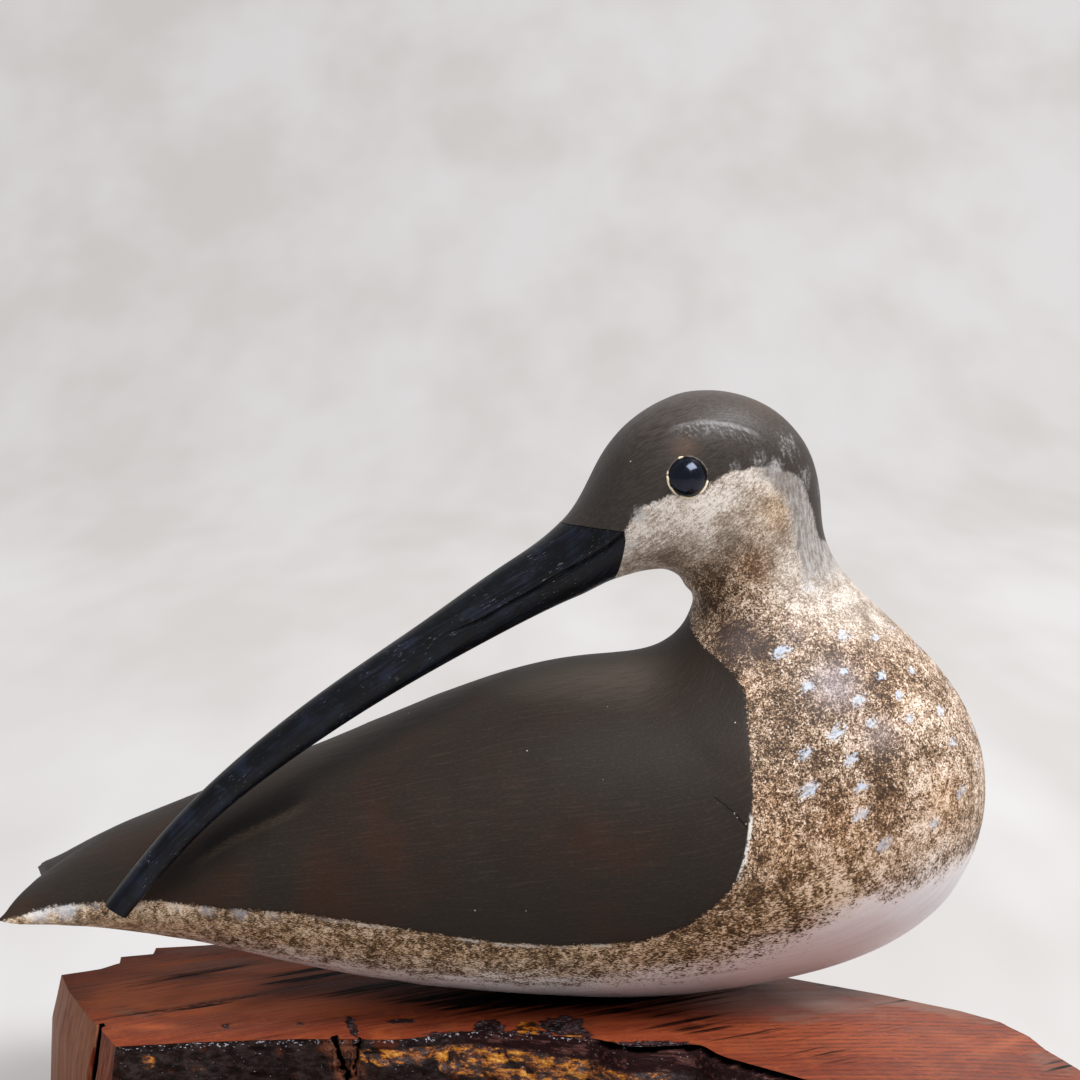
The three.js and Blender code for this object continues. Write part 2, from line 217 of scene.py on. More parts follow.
cut_rows = np.array([[*cut[1], *cut[2], *cut[3:]] for cut in CUTS])
inner_steps = np.linalg.norm(np.diff(cut_rows[:, 0:2], axis=0), axis=1)
outer_steps = np.linalg.norm(np.diff(cut_rows[:, 2:4], axis=0), axis=1)
PLACES = np.concatenate([[0.0], np.cumsum((inner_steps + outer_steps) / 2)])
CHANNELS = [natural_spline(PLACES, column) for column in cut_rows.T]
print("travel from tail to tip in millimetres:", PLACES[-1].round(1))


# %% [markdown]
# A point of the skin is found from its travel along the cuts and its angle round them. The head's
# turn grows from the full breast to the nape, and the body is flat where it lies on the slab.

# %% A point of the skin
def cut_place(name, beyond=0.0):
    number = CUT_NAMES.index(name) + beyond
    return np.interp(number, np.arange(len(CUTS)), PLACES)


def hollowed(points):
    """The soft hollow between the wing and the tail."""
    (x0, z0), (x1, z1) = VALLEY
    length = math.hypot(x1 - x0, z1 - z0)
    x = points[..., 0] - x0
    z = points[..., 2] - z0
    along = (x * (x1 - x0) + z * (z1 - z0)) / length**2
    off = (x * (z1 - z0) - z * (x1 - x0)) / length
    depth = VALLEY_DEPTH * np.exp(-((off / VALLEY_WIDTH) ** 2) - ((along - 0.5) * VALLEY_TAPER) ** 4)
    y = points[..., 1]
    hollow = points.copy()
    hollow[..., 1] = y - np.sign(y) * np.minimum(depth, np.abs(y))
    return hollow


def skin_point(place, angle):
    """Drawn points for arrays of travel and angle. The angle is 0 on the far side, 90 on the back."""
    inner_x, inner_z, outer_x, outer_z, half, widest, edge, square = (f(place) for f in CHANNELS)
    power = 2 / square
    across = np.abs(np.cos(angle)) ** power
    rounded = np.abs(np.sin(angle)) ** power
    reach = rounded * (1 - edge + edge * rounded)
    worn = np.clip(1 - place / TAIL_EDGE, 0, 1)
    reach = reach * (TAIL_END_SHARE + (1 - TAIL_END_SHARE) * np.sqrt(1 - worn**2))
    upper = widest * (1 - reach)
    lower = widest + (1 - widest) * reach
    share = np.where(np.sin(angle) >= 0, upper, lower)
    sweep = TAIL_SWEEP * np.clip(1 - place / TAIL_SWEEP_RUN, 0, 1) * across
    x = inner_x + share * (outer_x - inner_x) - sweep
    y = half * np.sign(np.cos(angle)) * across
    z = inner_z + share * (outer_z - inner_z)
    points = np.stack([x, y, z], -1)
    number = np.interp(place, PLACES, np.arange(len(CUTS)))
    starts = CUT_NAMES.index("full breast")
    points = np.where((number < starts)[..., None], hollowed(points), points)
    points = turned(points, smoothstep(number, starts, CUT_NAMES.index("high nape")))
    points[..., 2] = np.maximum(points[..., 2], 0)
    return points


# %% [markdown]
# The skin is a net of rings. The faces lie closer together on the sides, where the edge of the wing
# and the eyes are, than on the back and the belly. The net keeps its travel and angle on every point,
# because brush strokes follow them later.

# %% The net of the skin
SIDE_CLOSENESS = 0.2  # 0 spreads the faces evenly round a ring


def net(start, end, rings, around):
    """The closed skin between two places: points, faces, and the travel, angle and half width of each."""
    place = np.linspace(start, end, rings)[:, None]
    turn = np.linspace(0, 2 * math.pi, around, endpoint=False)[None, :]
    angle = turn - SIDE_CLOSENESS * np.sin(2 * turn)
    place, angle = np.broadcast_arrays(place, angle)
    points = skin_point(place, angle)
    faces = []
    for ring in range(rings - 1):
        here = ring * around
        ahead = here + around
        for side in range(around):
            beside = (side + 1) % around
            faces.append((here + side, here + beside, ahead + beside, ahead + side))
    last = (rings - 1) * around
    for side in range(around // 2):
        upper = (side, side + 1)
        lower = (-side % around, (-side - 1) % around)
        rung = list(dict.fromkeys([upper[0], lower[0], lower[1], upper[1]]))
        if len(rung) > 2:
            faces.append(tuple(rung))
            faces.append(tuple(last + i for i in reversed(rung)))
    half = np.broadcast_to(CHANNELS[4](place), angle.shape)
    return points.reshape(-1, 3), faces, place.ravel(), angle.ravel(), half.ravel()


def new_object(name, points, faces):
    """A mesh object in the frame, from drawn points and faces."""
    mesh = bpy.data.meshes.new(name)
    mesh.from_pydata(placed(points).tolist(), [], faces)
    mesh.update()
    made = bpy.data.objects.new(name, mesh)
    bpy.context.collection.objects.link(made)
    return made


def points_of(made):
    """The drawn points of an object's mesh."""
    flat = np.empty(len(made.data.vertices) * 3, np.float32)
    made.data.vertices.foreach_get("co", flat)
    return drawn(flat.reshape(-1, 3))


def normals_of(made):
    flat = np.empty(len(made.data.vertices) * 3, np.float32)
    made.data.vertex_normals.foreach_get("vector", flat)
    return flat.reshape(-1, 3).astype(float)


def move_points(made, points):
    made.data.vertices.foreach_set("co", placed(points).astype(np.float32).ravel())
    made.data.update()


def volume_of(made):
    check = bmesh.new()
    check.from_mesh(made.data)
    volume = check.calc_volume(signed=True)
    check.free()
    return volume


BODY_RINGS = 430
BODY_AROUND = 200
HEAD_STOPS = 0.4  # past the cut of the bill root, inside the seat of the bill
body_net = net(0.0, cut_place("bill root", HEAD_STOPS), BODY_RINGS, BODY_AROUND)
carving = new_object("painted_bird", *body_net[:2])
print("bird:", len(carving.data.vertices), "points, volume in cm3", round(volume_of(carving) * 1e6, 1))

# %% [markdown]
# ## The lines of the paint
#
# The painter kept to a few clear outlines: the dark wing, back and tail, the dark crown, the white
# belly, and the pale dabs on the breast. They are drawn here on the side view, the body's on the body
# and the head's on the head before it is turned. Every point of the skin then gets its distance from
# each outline, and the materials ask for a distance where a painter would look for a line.

# %% Outlines on the side view
WING = [
    (-119.0, 22.4), (-113.5, 23.7), (-108.2, 25.2), (-103.2, 26.6), (-92.0, 28.0), (-80.9, 29.2),
    (-68.6, 28.8), (-58.9, 28.7), (-44.5, 28.7), (-25.7, 26.6),
    (2.3, 22.5), (16.2, 21.8), (34.8, 22.8), (46.4, 27.2), (54.1, 33.9), (58.2, 39.6), (59.8, 47.7),
    (60.3, 52.9), (60.9, 58.3), (60.6, 65.2), (60.1, 72.6), (59.9, 79.3), (56.9, 83.6), (52.7, 86.6),
    (49.9, 88.8), (48.3, 91.0), (48.2, 93.6), (44.0, 97.0), (-130.0, 97.0), (-130.0, 22.4),
]
CROWN = [
    (10.0, 116.4), (26.9, 116.4), (29.7, 121.0), (34.2, 123.9), (37.9, 125.0), (41.7, 124.8),
    (45.6, 125.6), (47.5, 128.3), (51.7, 130.1), (57.5, 131.4), (62.7, 131.2), (67.6, 129.4),
    (70.8, 127.2), (72.8, 123.5), (75.0, 118.0), (77.0, 112.5), (90.0, 108.0), (90.0, 160.0), (10.0, 160.0),
]
BELLY_LINE = [
    (-120.0, 10.0), (-81.2, 11.0), (-59.6, 11.0), (-38.4, 9.0), (-14.6, 6.5), (6.8, 6.0), (25.8, 6.0),
    (44.8, 8.5), (58.8, 12.5), (73.0, 18.5), (87.3, 24.5), (97.0, 27.5), (104.3, 29.5), (110.9, 31.0),
    (116.8, 31.5), (121.0, 32.0),
]
DAB_WAY = np.array([[0.80, 0.60], [-0.60, 0.80]])  # the brush's way along a dab and across it, in x and z
DAB_LENGTHENED = 1.35
DAB_NARROWED = 1.25
# x, distance from the middle, z, and half length of each pale dab on the breast
DABS = [
    (83.9, 17.5, 91.1, 2.6), (92.1, 13.2, 89.9, 1.8), (68.5, 22.8, 88.0, 2.8), (83.3, 23.7, 83.6, 1.6),
    (74.5, 27.2, 80.7, 2.5), (92.7, 20.7, 82.1, 2.0), (100.7, 14.4, 81.8, 2.0), (86.6, 26.7, 77.2, 2.3),
    (96.7, 21.8, 77.4, 2.0), (89.5, 28.4, 72.1, 2.0), (98.9, 23.8, 72.1, 2.0), (107.4, 16.4, 72.5, 2.2),
    (81.0, 31.5, 70.4, 2.6), (110.4, 18.0, 65.2, 2.0), (73.3, 34.6, 66.1, 2.4), (84.2, 33.0, 64.5, 2.2),
    (73.8, 37.3, 58.1, 2.8), (86.5, 34.2, 58.1, 2.2), (112.0, 20.1, 53.5, 2.2), (86.4, 35.6, 51.8, 2.6),
    (104.9, 26.7, 47.6, 2.0), (92.4, 33.8, 44.1, 2.8), (112.5, 3.0, 77.0, 2.2), (118.2, 5.5, 66.0, 2.0),
    (119.6, 1.5, 55.5, 2.2), (105.0, 2.0, 86.0, 2.0), (97.5, 5.0, 91.5, 1.8), (116.0, 12.0, 58.0, 1.8),
]


def outline_distance(outline, x, z):
    """The distance from a closed outline in millimetres, above 0 inside it."""
    nearest = np.full(x.shape, 1e9)
    inside = np.zeros(x.shape, bool)
    for (x0, z0), (x1, z1) in zip(outline, outline[1:] + outline[:1]):
        run = np.array([x1 - x0, z1 - z0])
        share = np.clip(((x - x0) * run[0] + (z - z0) * run[1]) / (run @ run), 0, 1)
        nearest = np.minimum(nearest, np.hypot(x - x0 - share * run[0], z - z0 - share * run[1]))
        if z0 != z1:
            crosses = (z0 > z) != (z1 > z)
            inside ^= crosses & (x < x0 + (z - z0) * (x1 - x0) / (z1 - z0))
    return np.where(inside, nearest, -nearest)


def path_distance(path, x, z):
    """The distance from an open line, and how far along it the nearest point is."""
    nearest = np.full(x.shape, 1e9)
    along = np.zeros(x.shape)
    travelled = 0.0
    for (x0, z0), (x1, z1) in zip(path, path[1:]):
        run = np.array([x1 - x0, z1 - z0])
        length = math.hypot(*run)
        share = np.clip(((x - x0) * run[0] + (z - z0) * run[1]) / length**2, 0, 1)
        far = np.hypot(x - x0 - share * run[0], z - z0 - share * run[1])
        along = np.where(far < nearest, travelled + share * length, along)
        nearest = np.minimum(nearest, far)
        travelled += length
    return nearest, along / travelled


print("outlines:", len(WING), "points for the wing,", len(CROWN), "for the crown,", len(DABS), "dabs")

# %% [markdown]
# ## What the knife left
#
# The edge of the wing stands a little proud of the breast and the flank, and fades out over the
# shoulder and the tail. The rest of the skin has the faint flats of a knife and sandpaper, which
# catch the light. Both are moves along the normals of the net, made before anything is cut from it.

# %% Low relief on the carving
WING_STEP = 0.5
WING_STEP_RUN = 1.5
STEP_FADES_BACK = (-112, -90)  # the step grows over this reach of x
STEP_FADES_UP = (66, 84)  # and goes over this reach of z
STEP_SETTLES = 12.0
BELLY_KEPT = (0.5, 4)  # nothing moves lower than this reach of z
FLAT_HEIGHT = 0.10
FLAT_LENGTH = 17.0


def knife_flats(points):
    """A soft unevenness in three crossed directions, from -1 to 1."""
    waves = np.zeros(len(points))
    for direction, offset in (((1, 0.2, 0.5), 0.4), ((0.3, 1, -0.4), 1.9), ((-0.5, 0.3, 1), 3.1)):
        way = np.array(direction) / np.linalg.norm(direction)
        waves += np.sin(points @ way * (2 * math.pi / FLAT_LENGTH) + offset + waves)
    return waves / 3


skin = points_of(carving)
wing_depth = outline_distance(WING, skin[:, 0], skin[:, 2])
step_fade = smoothstep(skin[:, 0], *STEP_FADES_BACK) * (1 - smoothstep(skin[:, 2], *STEP_FADES_UP))
step = WING_STEP * step_fade * smoothstep(wing_depth, -WING_STEP_RUN / 2, WING_STEP_RUN / 2)
step *= np.exp(-np.clip(wing_depth, 0, None) / STEP_SETTLES)
relief = (step + FLAT_HEIGHT * knife_flats(skin)) * smoothstep(skin[:, 2], *BELLY_KEPT)
move_points(carving, skin + normals_of(carving) * relief[:, None])
print("relief in millimetres:", relief.min().round(2), "to", relief.max().round(2))

# %% [markdown]
# ## The seat of the bill and the sockets of the eyes
#
# The bill of the real bird is its own piece, let into the head with a square-cornered joint that
# shows as a thin dark line. The beads of the eyes sit in round sockets. A Boolean modifier cuts both,
# as a saw and a drill did, and its result is applied at once so that no modifier stays on the piece.

# %% Cutting tools
BILL_JOINT = [(18.0, 117.2), (26.9, 116.4), (27.2, 114.0), (26.2, 100.0)]
JOINT_REACH = 30.0
SEAT_FRONT_X = -6.0
SEAT_LOW_Z = 92.0
JOINT_GAP = 0.16
EYE_GAP = 0.12
BALL_AROUND = 48
BALL_RINGS = 36


def bill_block(front_x, low_z, gap):
    """An upright prism across the turned head, with the joint as its back."""
    ridge, corner, gape, throat = [(x + gap, z + gap) for x, z in BILL_JOINT]
    outline = [(front_x, ridge[1]), ridge, corner, gape, throat, (throat[0], low_z), (front_x, low_z)]
    count = len(outline)
    points = [(x, side * JOINT_REACH, z) for side in (-1, 1) for x, z in outline]
    faces = [(i, count + i, count + (i + 1) % count, (i + 1) % count) for i in range(count)]
    faces.append(tuple(range(count)))
    faces.append(tuple(reversed(range(count, 2 * count))))
    block = new_object("bill_block", turned(np.array(points)), faces)
    facing_out(block)
    return block


def facing_out(made):
    """Turns an object's faces outwards."""
    shell = bmesh.new()
    shell.from_mesh(made.data)
    bmesh.ops.recalc_face_normals(shell, faces=shell.faces)
    shell.to_mesh(made.data)
    shell.free()


def ball(name, centre, radius):
    """A ball with its poles to the sides of the head, in metres."""
    shell = bmesh.new()
    bmesh.ops.create_uvsphere(shell, u_segments=BALL_AROUND, v_segments=BALL_RINGS, radius=radius)
    sideways = Matrix.Rotation(math.radians(90), 4, "X")
    head = Matrix.Rotation(HEAD_TURN, 4, "Z")
    bmesh.ops.transform(shell, matrix=Matrix.Translation(centre) @ head @ sideways, verts=shell.verts)
    mesh = bpy.data.meshes.new(name)
    shell.to_mesh(mesh)
    shell.free()
    made = bpy.data.objects.new(name, mesh)
    bpy.context.collection.objects.link(made)
    return made


def apply_modifiers(made):
    """Replaces an object's mesh by what its modifiers make of it."""
    seen = bpy.context.evaluated_depsgraph_get()
    seen.update()
    mesh = bpy.data.meshes.new_from_object(made.evaluated_get(seen), depsgraph=seen)
    made.modifiers.clear()
    made.data = mesh


def cut(made, tool, operation="DIFFERENCE"):
    """Cuts an object with a tool, which is used up."""
    boolean = made.modifiers.new("cut", "BOOLEAN")
    boolean.operation = operation
    boolean.solver = "EXACT"
    boolean.object = tool
    apply_modifiers(made)
    bpy.data.objects.remove(tool)


cut(carving, bill_block(SEAT_FRONT_X, SEAT_LOW_Z, JOINT_GAP))
for node in EYE_NODES:
    cut(carving, ball("drill", middle_of(node), radius_of(node) + EYE_GAP * MM))
print("carving after the cuts:", len(carving.data.vertices), "points")

# %% [markdown]
# ## The bill
#
# The bill is the end of the same smooth form, from inside the head to its blunt tip. A finer net
# gives it the crease of the gape, which runs from the corner of the mouth and fades towards the
# middle. The net is moved first and then trimmed with the same block that cut its seat.

# %% Bill
BILL_RINGS = 420
BILL_AROUND = 96
GAPE = [
    (27.5, 116.6), (23.5, 112.8), (18.1, 109.0), (8.2, 103.1), (-5.6, 95.5), (-13.7, 92.5),
    (-22.5, 86.8), (-34.0, 79.8), (-46.0, 71.9),
]
GAPE_DEPTH = 0.42
GAPE_WIDTH = 0.42
LIP_HEIGHT = 0.12
LIP_OFF = 1.1
LIP_WIDTH = 0.7
BILL_REACH_X = -150.0
BILL_REACH_Z = 0.0

bill_net = net(cut_place("brow"), PLACES[-1], BILL_RINGS, BILL_AROUND)
bill = new_object("painted_bill", *bill_net[:2])
skin = points_of(bill)
level = turned(skin, -1.0)
gape_far, gape_along = path_distance(GAPE, level[:, 0], level[:, 2])
crease = GAPE_DEPTH * np.exp(-((gape_far / GAPE_WIDTH) ** 2)) * (1 - smoothstep(gape_along, 0.35, 0.95))
lip = LIP_HEIGHT * np.exp(-(((gape_far - LIP_OFF) / LIP_WIDTH) ** 2))
lip = lip * (1 - smoothstep(gape_along, 0.3, 0.9))
move_points(bill, skin + normals_of(bill) * (lip - crease)[:, None])
cut(bill, bill_block(BILL_REACH_X, BILL_REACH_Z, 0.0), "INTERSECT")
print("bill:", len(bill.data.vertices), "points")

# %% [markdown]
# ## The eyes
#
# Each eye is a black glass bead. A ball is its true shape, so it is made as a fine one at the place
# and size of the part's own bead. The compound that holds it shows as a thin pale ring, uneven where
# it was wiped. Geometry Nodes lay that ring: its path is where the socket meets the skin.

# %% Eyes
eyes = []
for node in EYE_NODES:
    eyes.append(ball("glass_" + node, middle_of(node), radius_of(node)))
    eyes[-1].data.shade_smooth()
print("eyes:", [eye.name for eye in eyes])

# %% [markdown]
# ## Fields for the paint
#
# A field is one number for every point of a mesh. These fields hold the distances from the painter's
# outlines, soft spots where the stipple is thinner or thicker, and the travel and girth of the net,
# which brush strokes follow. A thin line needs a signed distance: the shader blends between points,
# and only a distance that changes sign across the line comes down to 0 on it.

# %% Fields of the bird
HEAD_LOW_Z = 96.0
SHARP_DEG = 38.0  # edges that turn more than this stay crisp
# x, distance from the middle, z, radius, and how much paler the stipple is there
SOFT_SPOTS = [
    ("light on the neck", (70.9, 18.3, 96.0), 6.0, 0.25),
    ("light under the cheek", (64.5, 16.5, 100.5), 6.5, 0.25),
    ("light nape", (79.0, 9.5, 106.0), 6.0, 0.15),
    ("light front", (105.0, 25.0, 56.5), 7.0, 0.45),
    ("light high front", (112.0, 17.0, 63.0), 5.5, 0.25),
    ("light below the breast", (86.0, 36.0, 38.0), 9.0, 0.20),
    ("light flank", (35.0, 37.8, 17.0), 9.0, 0.25),
    ("dark throat", (51.3, 9.2, 98.2), 6.0, -0.75),
    ("dark jaw", (53.5, 13.5, 104.5), 5.5, -0.55),
    ("dark jaw in front", (42.0, 19.5, 110.5), 5.0, -1.1),
    ("light streak of the cheek", (41.0, 22.0, 117.0), 4.5, 0.25),
    ("dark cloud behind the cheek", (58.0, 18.5, 116.5), 5.5, -0.65),
    ("dark below the cheek", (66.8, 15.0, 110.0), 5.0, -0.45),
    ("dark root of the neck", (58.5, 19.0, 90.2), 6.5, -1.6),
    ("dark beside it", (65.5, 22.5, 87.0), 6.0, -0.65),
    ("dark breast", (94.8, 30.3, 59.5), 6.5, -0.60),
    ("dark low breast", (91.0, 33.3, 52.0), 6.0, -0.20),
    ("dark beside the wing", (70.0, 39.8, 52.0), 7.0, -0.30),
    ("dark left breast", (70.0, 33.0, 72.0), 10.0, -0.75),
    ("dark high breast", (88.0, 22.0, 86.0), 9.0, -0.45),
    ("brown middle", (86.0, 33.0, 62.0), 6.0, -0.35),
    ("light low breast", (88.0, 35.0, 30.0), 12.0, 0.55),
    ("light front edge", (114.0, 14.0, 50.0), 8.0, 0.3),
    ("light over the belly", (77.0, 36.0, 26.0), 6.0, 0.55),
    ("dark chin", (35.0, 19.8, 110.5), 3.5, -0.5),
    ("dark below the wing", (62.0, 40.0, 36.0), 8.0, -0.4),
    ("dark side of the neck", (63.0, 17.0, 97.0), 4.5, -0.2),
]
# on the head before it is turned: place, radius and amount of worn brown
WORN_SPOTS = [((41.4, 14.5, 135.8), 2.8, 0.8), ((62.0, 8.0, 145.0), 4.0, 0.25)]
# on the bird: place, radius and amount of golden brown
GOLDEN_SPOTS = [
    ((67.5, 15.8, 120.0), 6.0, 0.8), ((62.0, 15.3, 107.5), 5.0, 0.8), ((67.8, 41.0, 45.8), 8.0, 0.8),
    ((81.3, 37.4, 49.8), 8.0, 0.8), ((64.8, 39.3, 56.3), 6.0, 0.6), ((107.0, 23.0, 52.3), 7.0, 0.8),
    ((58.6, 27.0, 79.7), 6.0, 0.5), ((95.0, 22.0, 80.0), 9.0, 0.4), ((90.0, 33.0, 50.0), 9.0, 0.5),
]
# on the head before it is turned: place, radius and amount of grey scuffs and painted sheen
SCUFF_AND_SHEEN_SPOTS = [
    ((50.0, 15.0, 138.0), 5.0, 0.25), ((59.0, 16.7, 132.6), 3.4, 0.75), ((63.5, 16.2, 130.8), 3.6, 0.85),
    ((53.0, 17.2, 131.7), 2.2, 0.8), ((30.4, 14.9, 120.5), 3.0, 1.0), ((33.8, 15.8, 122.2), 2.4, 0.8),
    ((27.4, 12.9, 112.6), 4.0, 0.9), ((71.0, 12.0, 127.5), 4.5, 0.85),
    ((76.0, 7.0, 125.0), 4.5, 0.7), ((67.0, 12.0, 136.0), 6.0, 0.75), ((73.0, 6.0, 133.0), 5.0, 0.7),
]
# on the bird: place, radius and amount of grey lilac, partly a painted sheen, and of painted highlight on
# the stipple
LILAC_AND_SHEEN_SPOTS = [
    ((81.0, 26.0, 80.7), 6.0, 0.9), ((91.4, 29.0, 69.3), 4.5, 0.5), ((72.0, 22.0, 92.0), 4.0, 0.3),
    ((59.5, 19.5, 89.5), 7.0, 0.25),
]
# painted highlights where the edges of the tail and the wing, and a spot low on the nape, catch the light
HIGHLIGHT_SPOTS = [
    ((-108.0, 23.4, 25.3), 4.0, 1.0), ((-101.5, 24.4, 26.2), 4.0, 1.0), ((-94.4, 26.1, 27.5), 2.6, 0.6),
    ((-84.0, 29.0, 28.5), 2.5, 0.5), ((-75.0, 30.5, 28.6), 2.8, 0.6), ((-67.0, 32.5, 28.3), 3.0, 0.8),
    ((-59.0, 34.6, 28.0), 3.2, 0.8), ((-51.0, 36.0, 28.0), 2.8, 0.6), ((75.7, 13.1, 102.0), 2.2, 0.7),
]
# on the dark coat: place, radius and amount of painted shade in the hollow under the bill, and of warm
# brown
SHADE_SPOTS = [
    ((-75.2, 25.4, 37.7), 8.0, 0.7), ((-65.0, 27.0, 41.0), 6.0, 0.6), ((-56.0, 26.2, 46.0), 5.0, 0.4),
]
WARM_SPOTS = [
    ((-60.0, 33.0, 34.0), 7.0, 0.7), ((-37.3, 38.9, 33.7), 9.0, 0.5), ((16.0, 44.0, 40.0), 16.0, 0.3),
    ((36.9, 44.4, 46.0), 10.0, 0.4), ((-3.0, 13.0, 74.0), 8.0, 0.4),
]
# open lines on the side view: the grey nape, the painted highlight on the brow, the fold by the tail with
# its painted shade and highlight, the chipped edge of the wing and the crack beside it
NAPE = [
    (57.0, 133.8), (63.3, 131.3), (67.3, 127.8), (70.2, 122.8), (72.3, 115.4), (74.0, 108.0), (75.0, 99.0),
]
BROW_HIGHLIGHT = [
    (37.5, 139.6), (40.3, 140.9), (46.5, 142.0), (52.1, 141.3), (56.2, 140.1), (58.6, 139.2), (61.0, 136.8),
]
FOLD = [(-44.5, 52.6), (-49.1, 50.0), (-55.2, 47.2), (-62.5, 43.6), (-69.0, 39.5), (-75.0, 35.0)]
CHIP = [(60.3, 52.9), (60.1, 49.7), (59.6, 46.3), (58.7, 42.4), (57.3, 38.2)]
CRACK = [(51.4, 57.7), (53.6, 55.9), (56.6, 53.6), (59.6, 50.2)]


def give_field(made, name, values):
    """Stores one number for every point of a mesh."""
    field = made.data.attributes.new(name, "FLOAT", "POINT")
    field.data.foreach_set("value", np.asarray(values, np.float32))


def give_line(made, name, path, points, starts, stops, where):
    """Stores the offset from an open line, and how much of it is there as it starts and stops."""
    offset, along = signed_offset(path, points[:, 0], points[:, 2])
    give_field(made, name, offset)
    there = smoothstep(along, *starts) * (1 - smoothstep(along, *stops))
    give_field(made, name + "_on", np.where(where, there, 0.0))


def give_strokes(made, skin_net):
    """Stores the travel and the girth of the nearest point of the net, for brush strokes."""
    net_points, _, place, angle, half = skin_net
    nearest = KDTree(len(net_points))
    for i, point in enumerate(net_points):
        nearest.insert(point, i)
    nearest.balance()
    found = np.array([nearest.find(point)[1] for point in points_of(made)])
    girth = np.arcsin(np.clip(np.sin(angle), -1, 1)) * half
    give_field(made, "travel", place[found])
    give_field(made, "girth", girth[found])


def signed_offset(path, x, z):
    """The distance from an open line, below 0 on its right side, and the millimetres along it."""
    nearest = np.full(x.shape, 1e9)
    offset = np.zeros(x.shape)
    along = np.zeros(x.shape)
    travelled = 0.0
    for i, ((x0, z0), (x1, z1)) in enumerate(zip(path, path[1:])):
        run = np.array([x1 - x0, z1 - z0])
        length = math.hypot(*run)
        reach = ((x - x0) * run[0] + (z - z0) * run[1]) / length
        held = np.clip(reach, -1e3 if i == 0 else 0, 1e3 if i == len(path) - 2 else length)
        across = ((z - z0) * run[0] - (x - x0) * run[1]) / length
        far = np.hypot(across, reach - held)
        closer = far < nearest
        offset = np.where(closer, np.sign(across) * far, offset)
        along = np.where(closer, travelled + held, along)
        nearest = np.minimum(nearest, far)
        travelled += length
    return offset, along


skin = points_of(carving)
level = turned(skin, -1.0)
side = np.abs(skin[:, 1])
on_head = skin[:, 2] > HEAD_LOW_Z
near_side = skin[:, 1] < 0
wing_field = outline_distance(WING, skin[:, 0], skin[:, 2])
crown_field = outline_distance(CROWN, level[:, 0], level[:, 2])
give_field(carving, "wing", np.where(on_head, -20.0, wing_field))
give_field(carving, "crown", crown_field)
belly_x, belly_z = np.array(BELLY_LINE).T
give_field(carving, "belly", np.interp(skin[:, 0], belly_x, belly_z) - skin[:, 2])

dab_field = np.full(len(skin), -9.0)
for x, y, z, length in DABS:
    along = DAB_WAY @ (skin[:, 0] - x, skin[:, 2] - z)
    away = np.stack([along[0] / DAB_LENGTHENED, side - y, along[1] * DAB_NARROWED], -1)
    dab_field = np.maximum(dab_field, 1 - np.linalg.norm(away, axis=1) / length)
give_field(carving, "dab", dab_field)

pale_field = np.zeros(len(skin))
for _, (x, y, z), radius, amount in SOFT_SPOTS:
    away = np.linalg.norm(np.stack([skin[:, 0] - x, side - y, skin[:, 2] - z], -1), axis=1)
    pale_field += amount * np.exp(-((away / radius) ** 2))
give_field(carving, "pale", pale_field)

for name, spots, points in (("worn", WORN_SPOTS, level), ("scuff", SCUFF_AND_SHEEN_SPOTS, level),
                            ("lilac", LILAC_AND_SHEEN_SPOTS, skin), ("golden", GOLDEN_SPOTS, skin),
                            ("shaded", SHADE_SPOTS, skin), ("warm", WARM_SPOTS, skin),
                            ("gloss", HIGHLIGHT_SPOTS, skin)):
    field = np.zeros(len(skin))
    for (x, y, z), radius, amount in spots:
        spot = np.column_stack([points[:, 0] - x, np.abs(points[:, 1]) - y, points[:, 2] - z])
        field = np.maximum(field, amount * np.exp(-((np.linalg.norm(spot, axis=1) / radius) ** 2)))
    give_field(carving, name, field)
give_line(carving, "nape", NAPE, level, (0.0, 6.0), (34.0, 42.0), on_head)
give_line(carving, "brow", BROW_HIGHLIGHT, level, (0.0, 5.0), (19.0, 25.0), on_head)
give_line(carving, "fold", FOLD, skin, (-4.0, 5.0), (24.0, 33.0), near_side)
give_line(carving, "chip", CHIP, skin, (-0.5, 0.5), (14.0, 15.5), near_side & ~on_head)
crack_off, crack_along = signed_offset(CRACK, skin[:, 0], skin[:, 2])
give_field(carving, "crack", np.where(near_side, crack_off, 9.0))
give_field(carving, "crack_along", crack_along)

level = turned(points_of(bill), -1.0)
gape_off, gape_along = signed_offset(GAPE, level[:, 0], level[:, 2])
give_field(bill, "gape", gape_off)
give_field(bill, "gape_along", gape_along)
for made, skin_net in ((carving, body_net), (bill, bill_net)):
    give_strokes(made, skin_net)
    made.data.shade_smooth()
    made.data.set_sharp_from_angle(angle=math.radians(SHARP_DEG))
print("fields of the bird:", [field.name for field in carving.data.attributes if field.domain == "POINT"])

# %% [markdown] ## A kit for finishes  Every finish here is a tree of shader nodes on the object's own
# coordinates, turned into millimetres so that a grain can be given its real size.

# %% The finish kit
def shade(red, green, blue):
    """A colour given as it looks on a screen, from 0 to 255, for a shader."""
    parts = [value / 255 for value in (red, green, blue)]
    parts = [v / 12.92 if v <= 0.04045 else ((v + 0.055) / 1.055) ** 2.4 for v in parts]
    return (*parts, 1.0)


class Amount:
    """A number that a finish works out at every point. Sums and products of it are nodes too."""

    def __init__(self, finish, socket):
        self.finish = finish
        self.socket = socket

    def __add__(self, other):
        return self.finish.calc("ADD", self, other)

    def __radd__(self, other):
        return self.finish.calc("ADD", other, self)

    def __sub__(self, other):
        return self.finish.calc("SUBTRACT", self, other)

    def __rsub__(self, other):
        return self.finish.calc("SUBTRACT", other, self)

    def __mul__(self, other):
        return self.finish.calc("MULTIPLY", self, other)

    def __rmul__(self, other):
        return self.finish.calc("MULTIPLY", other, self)


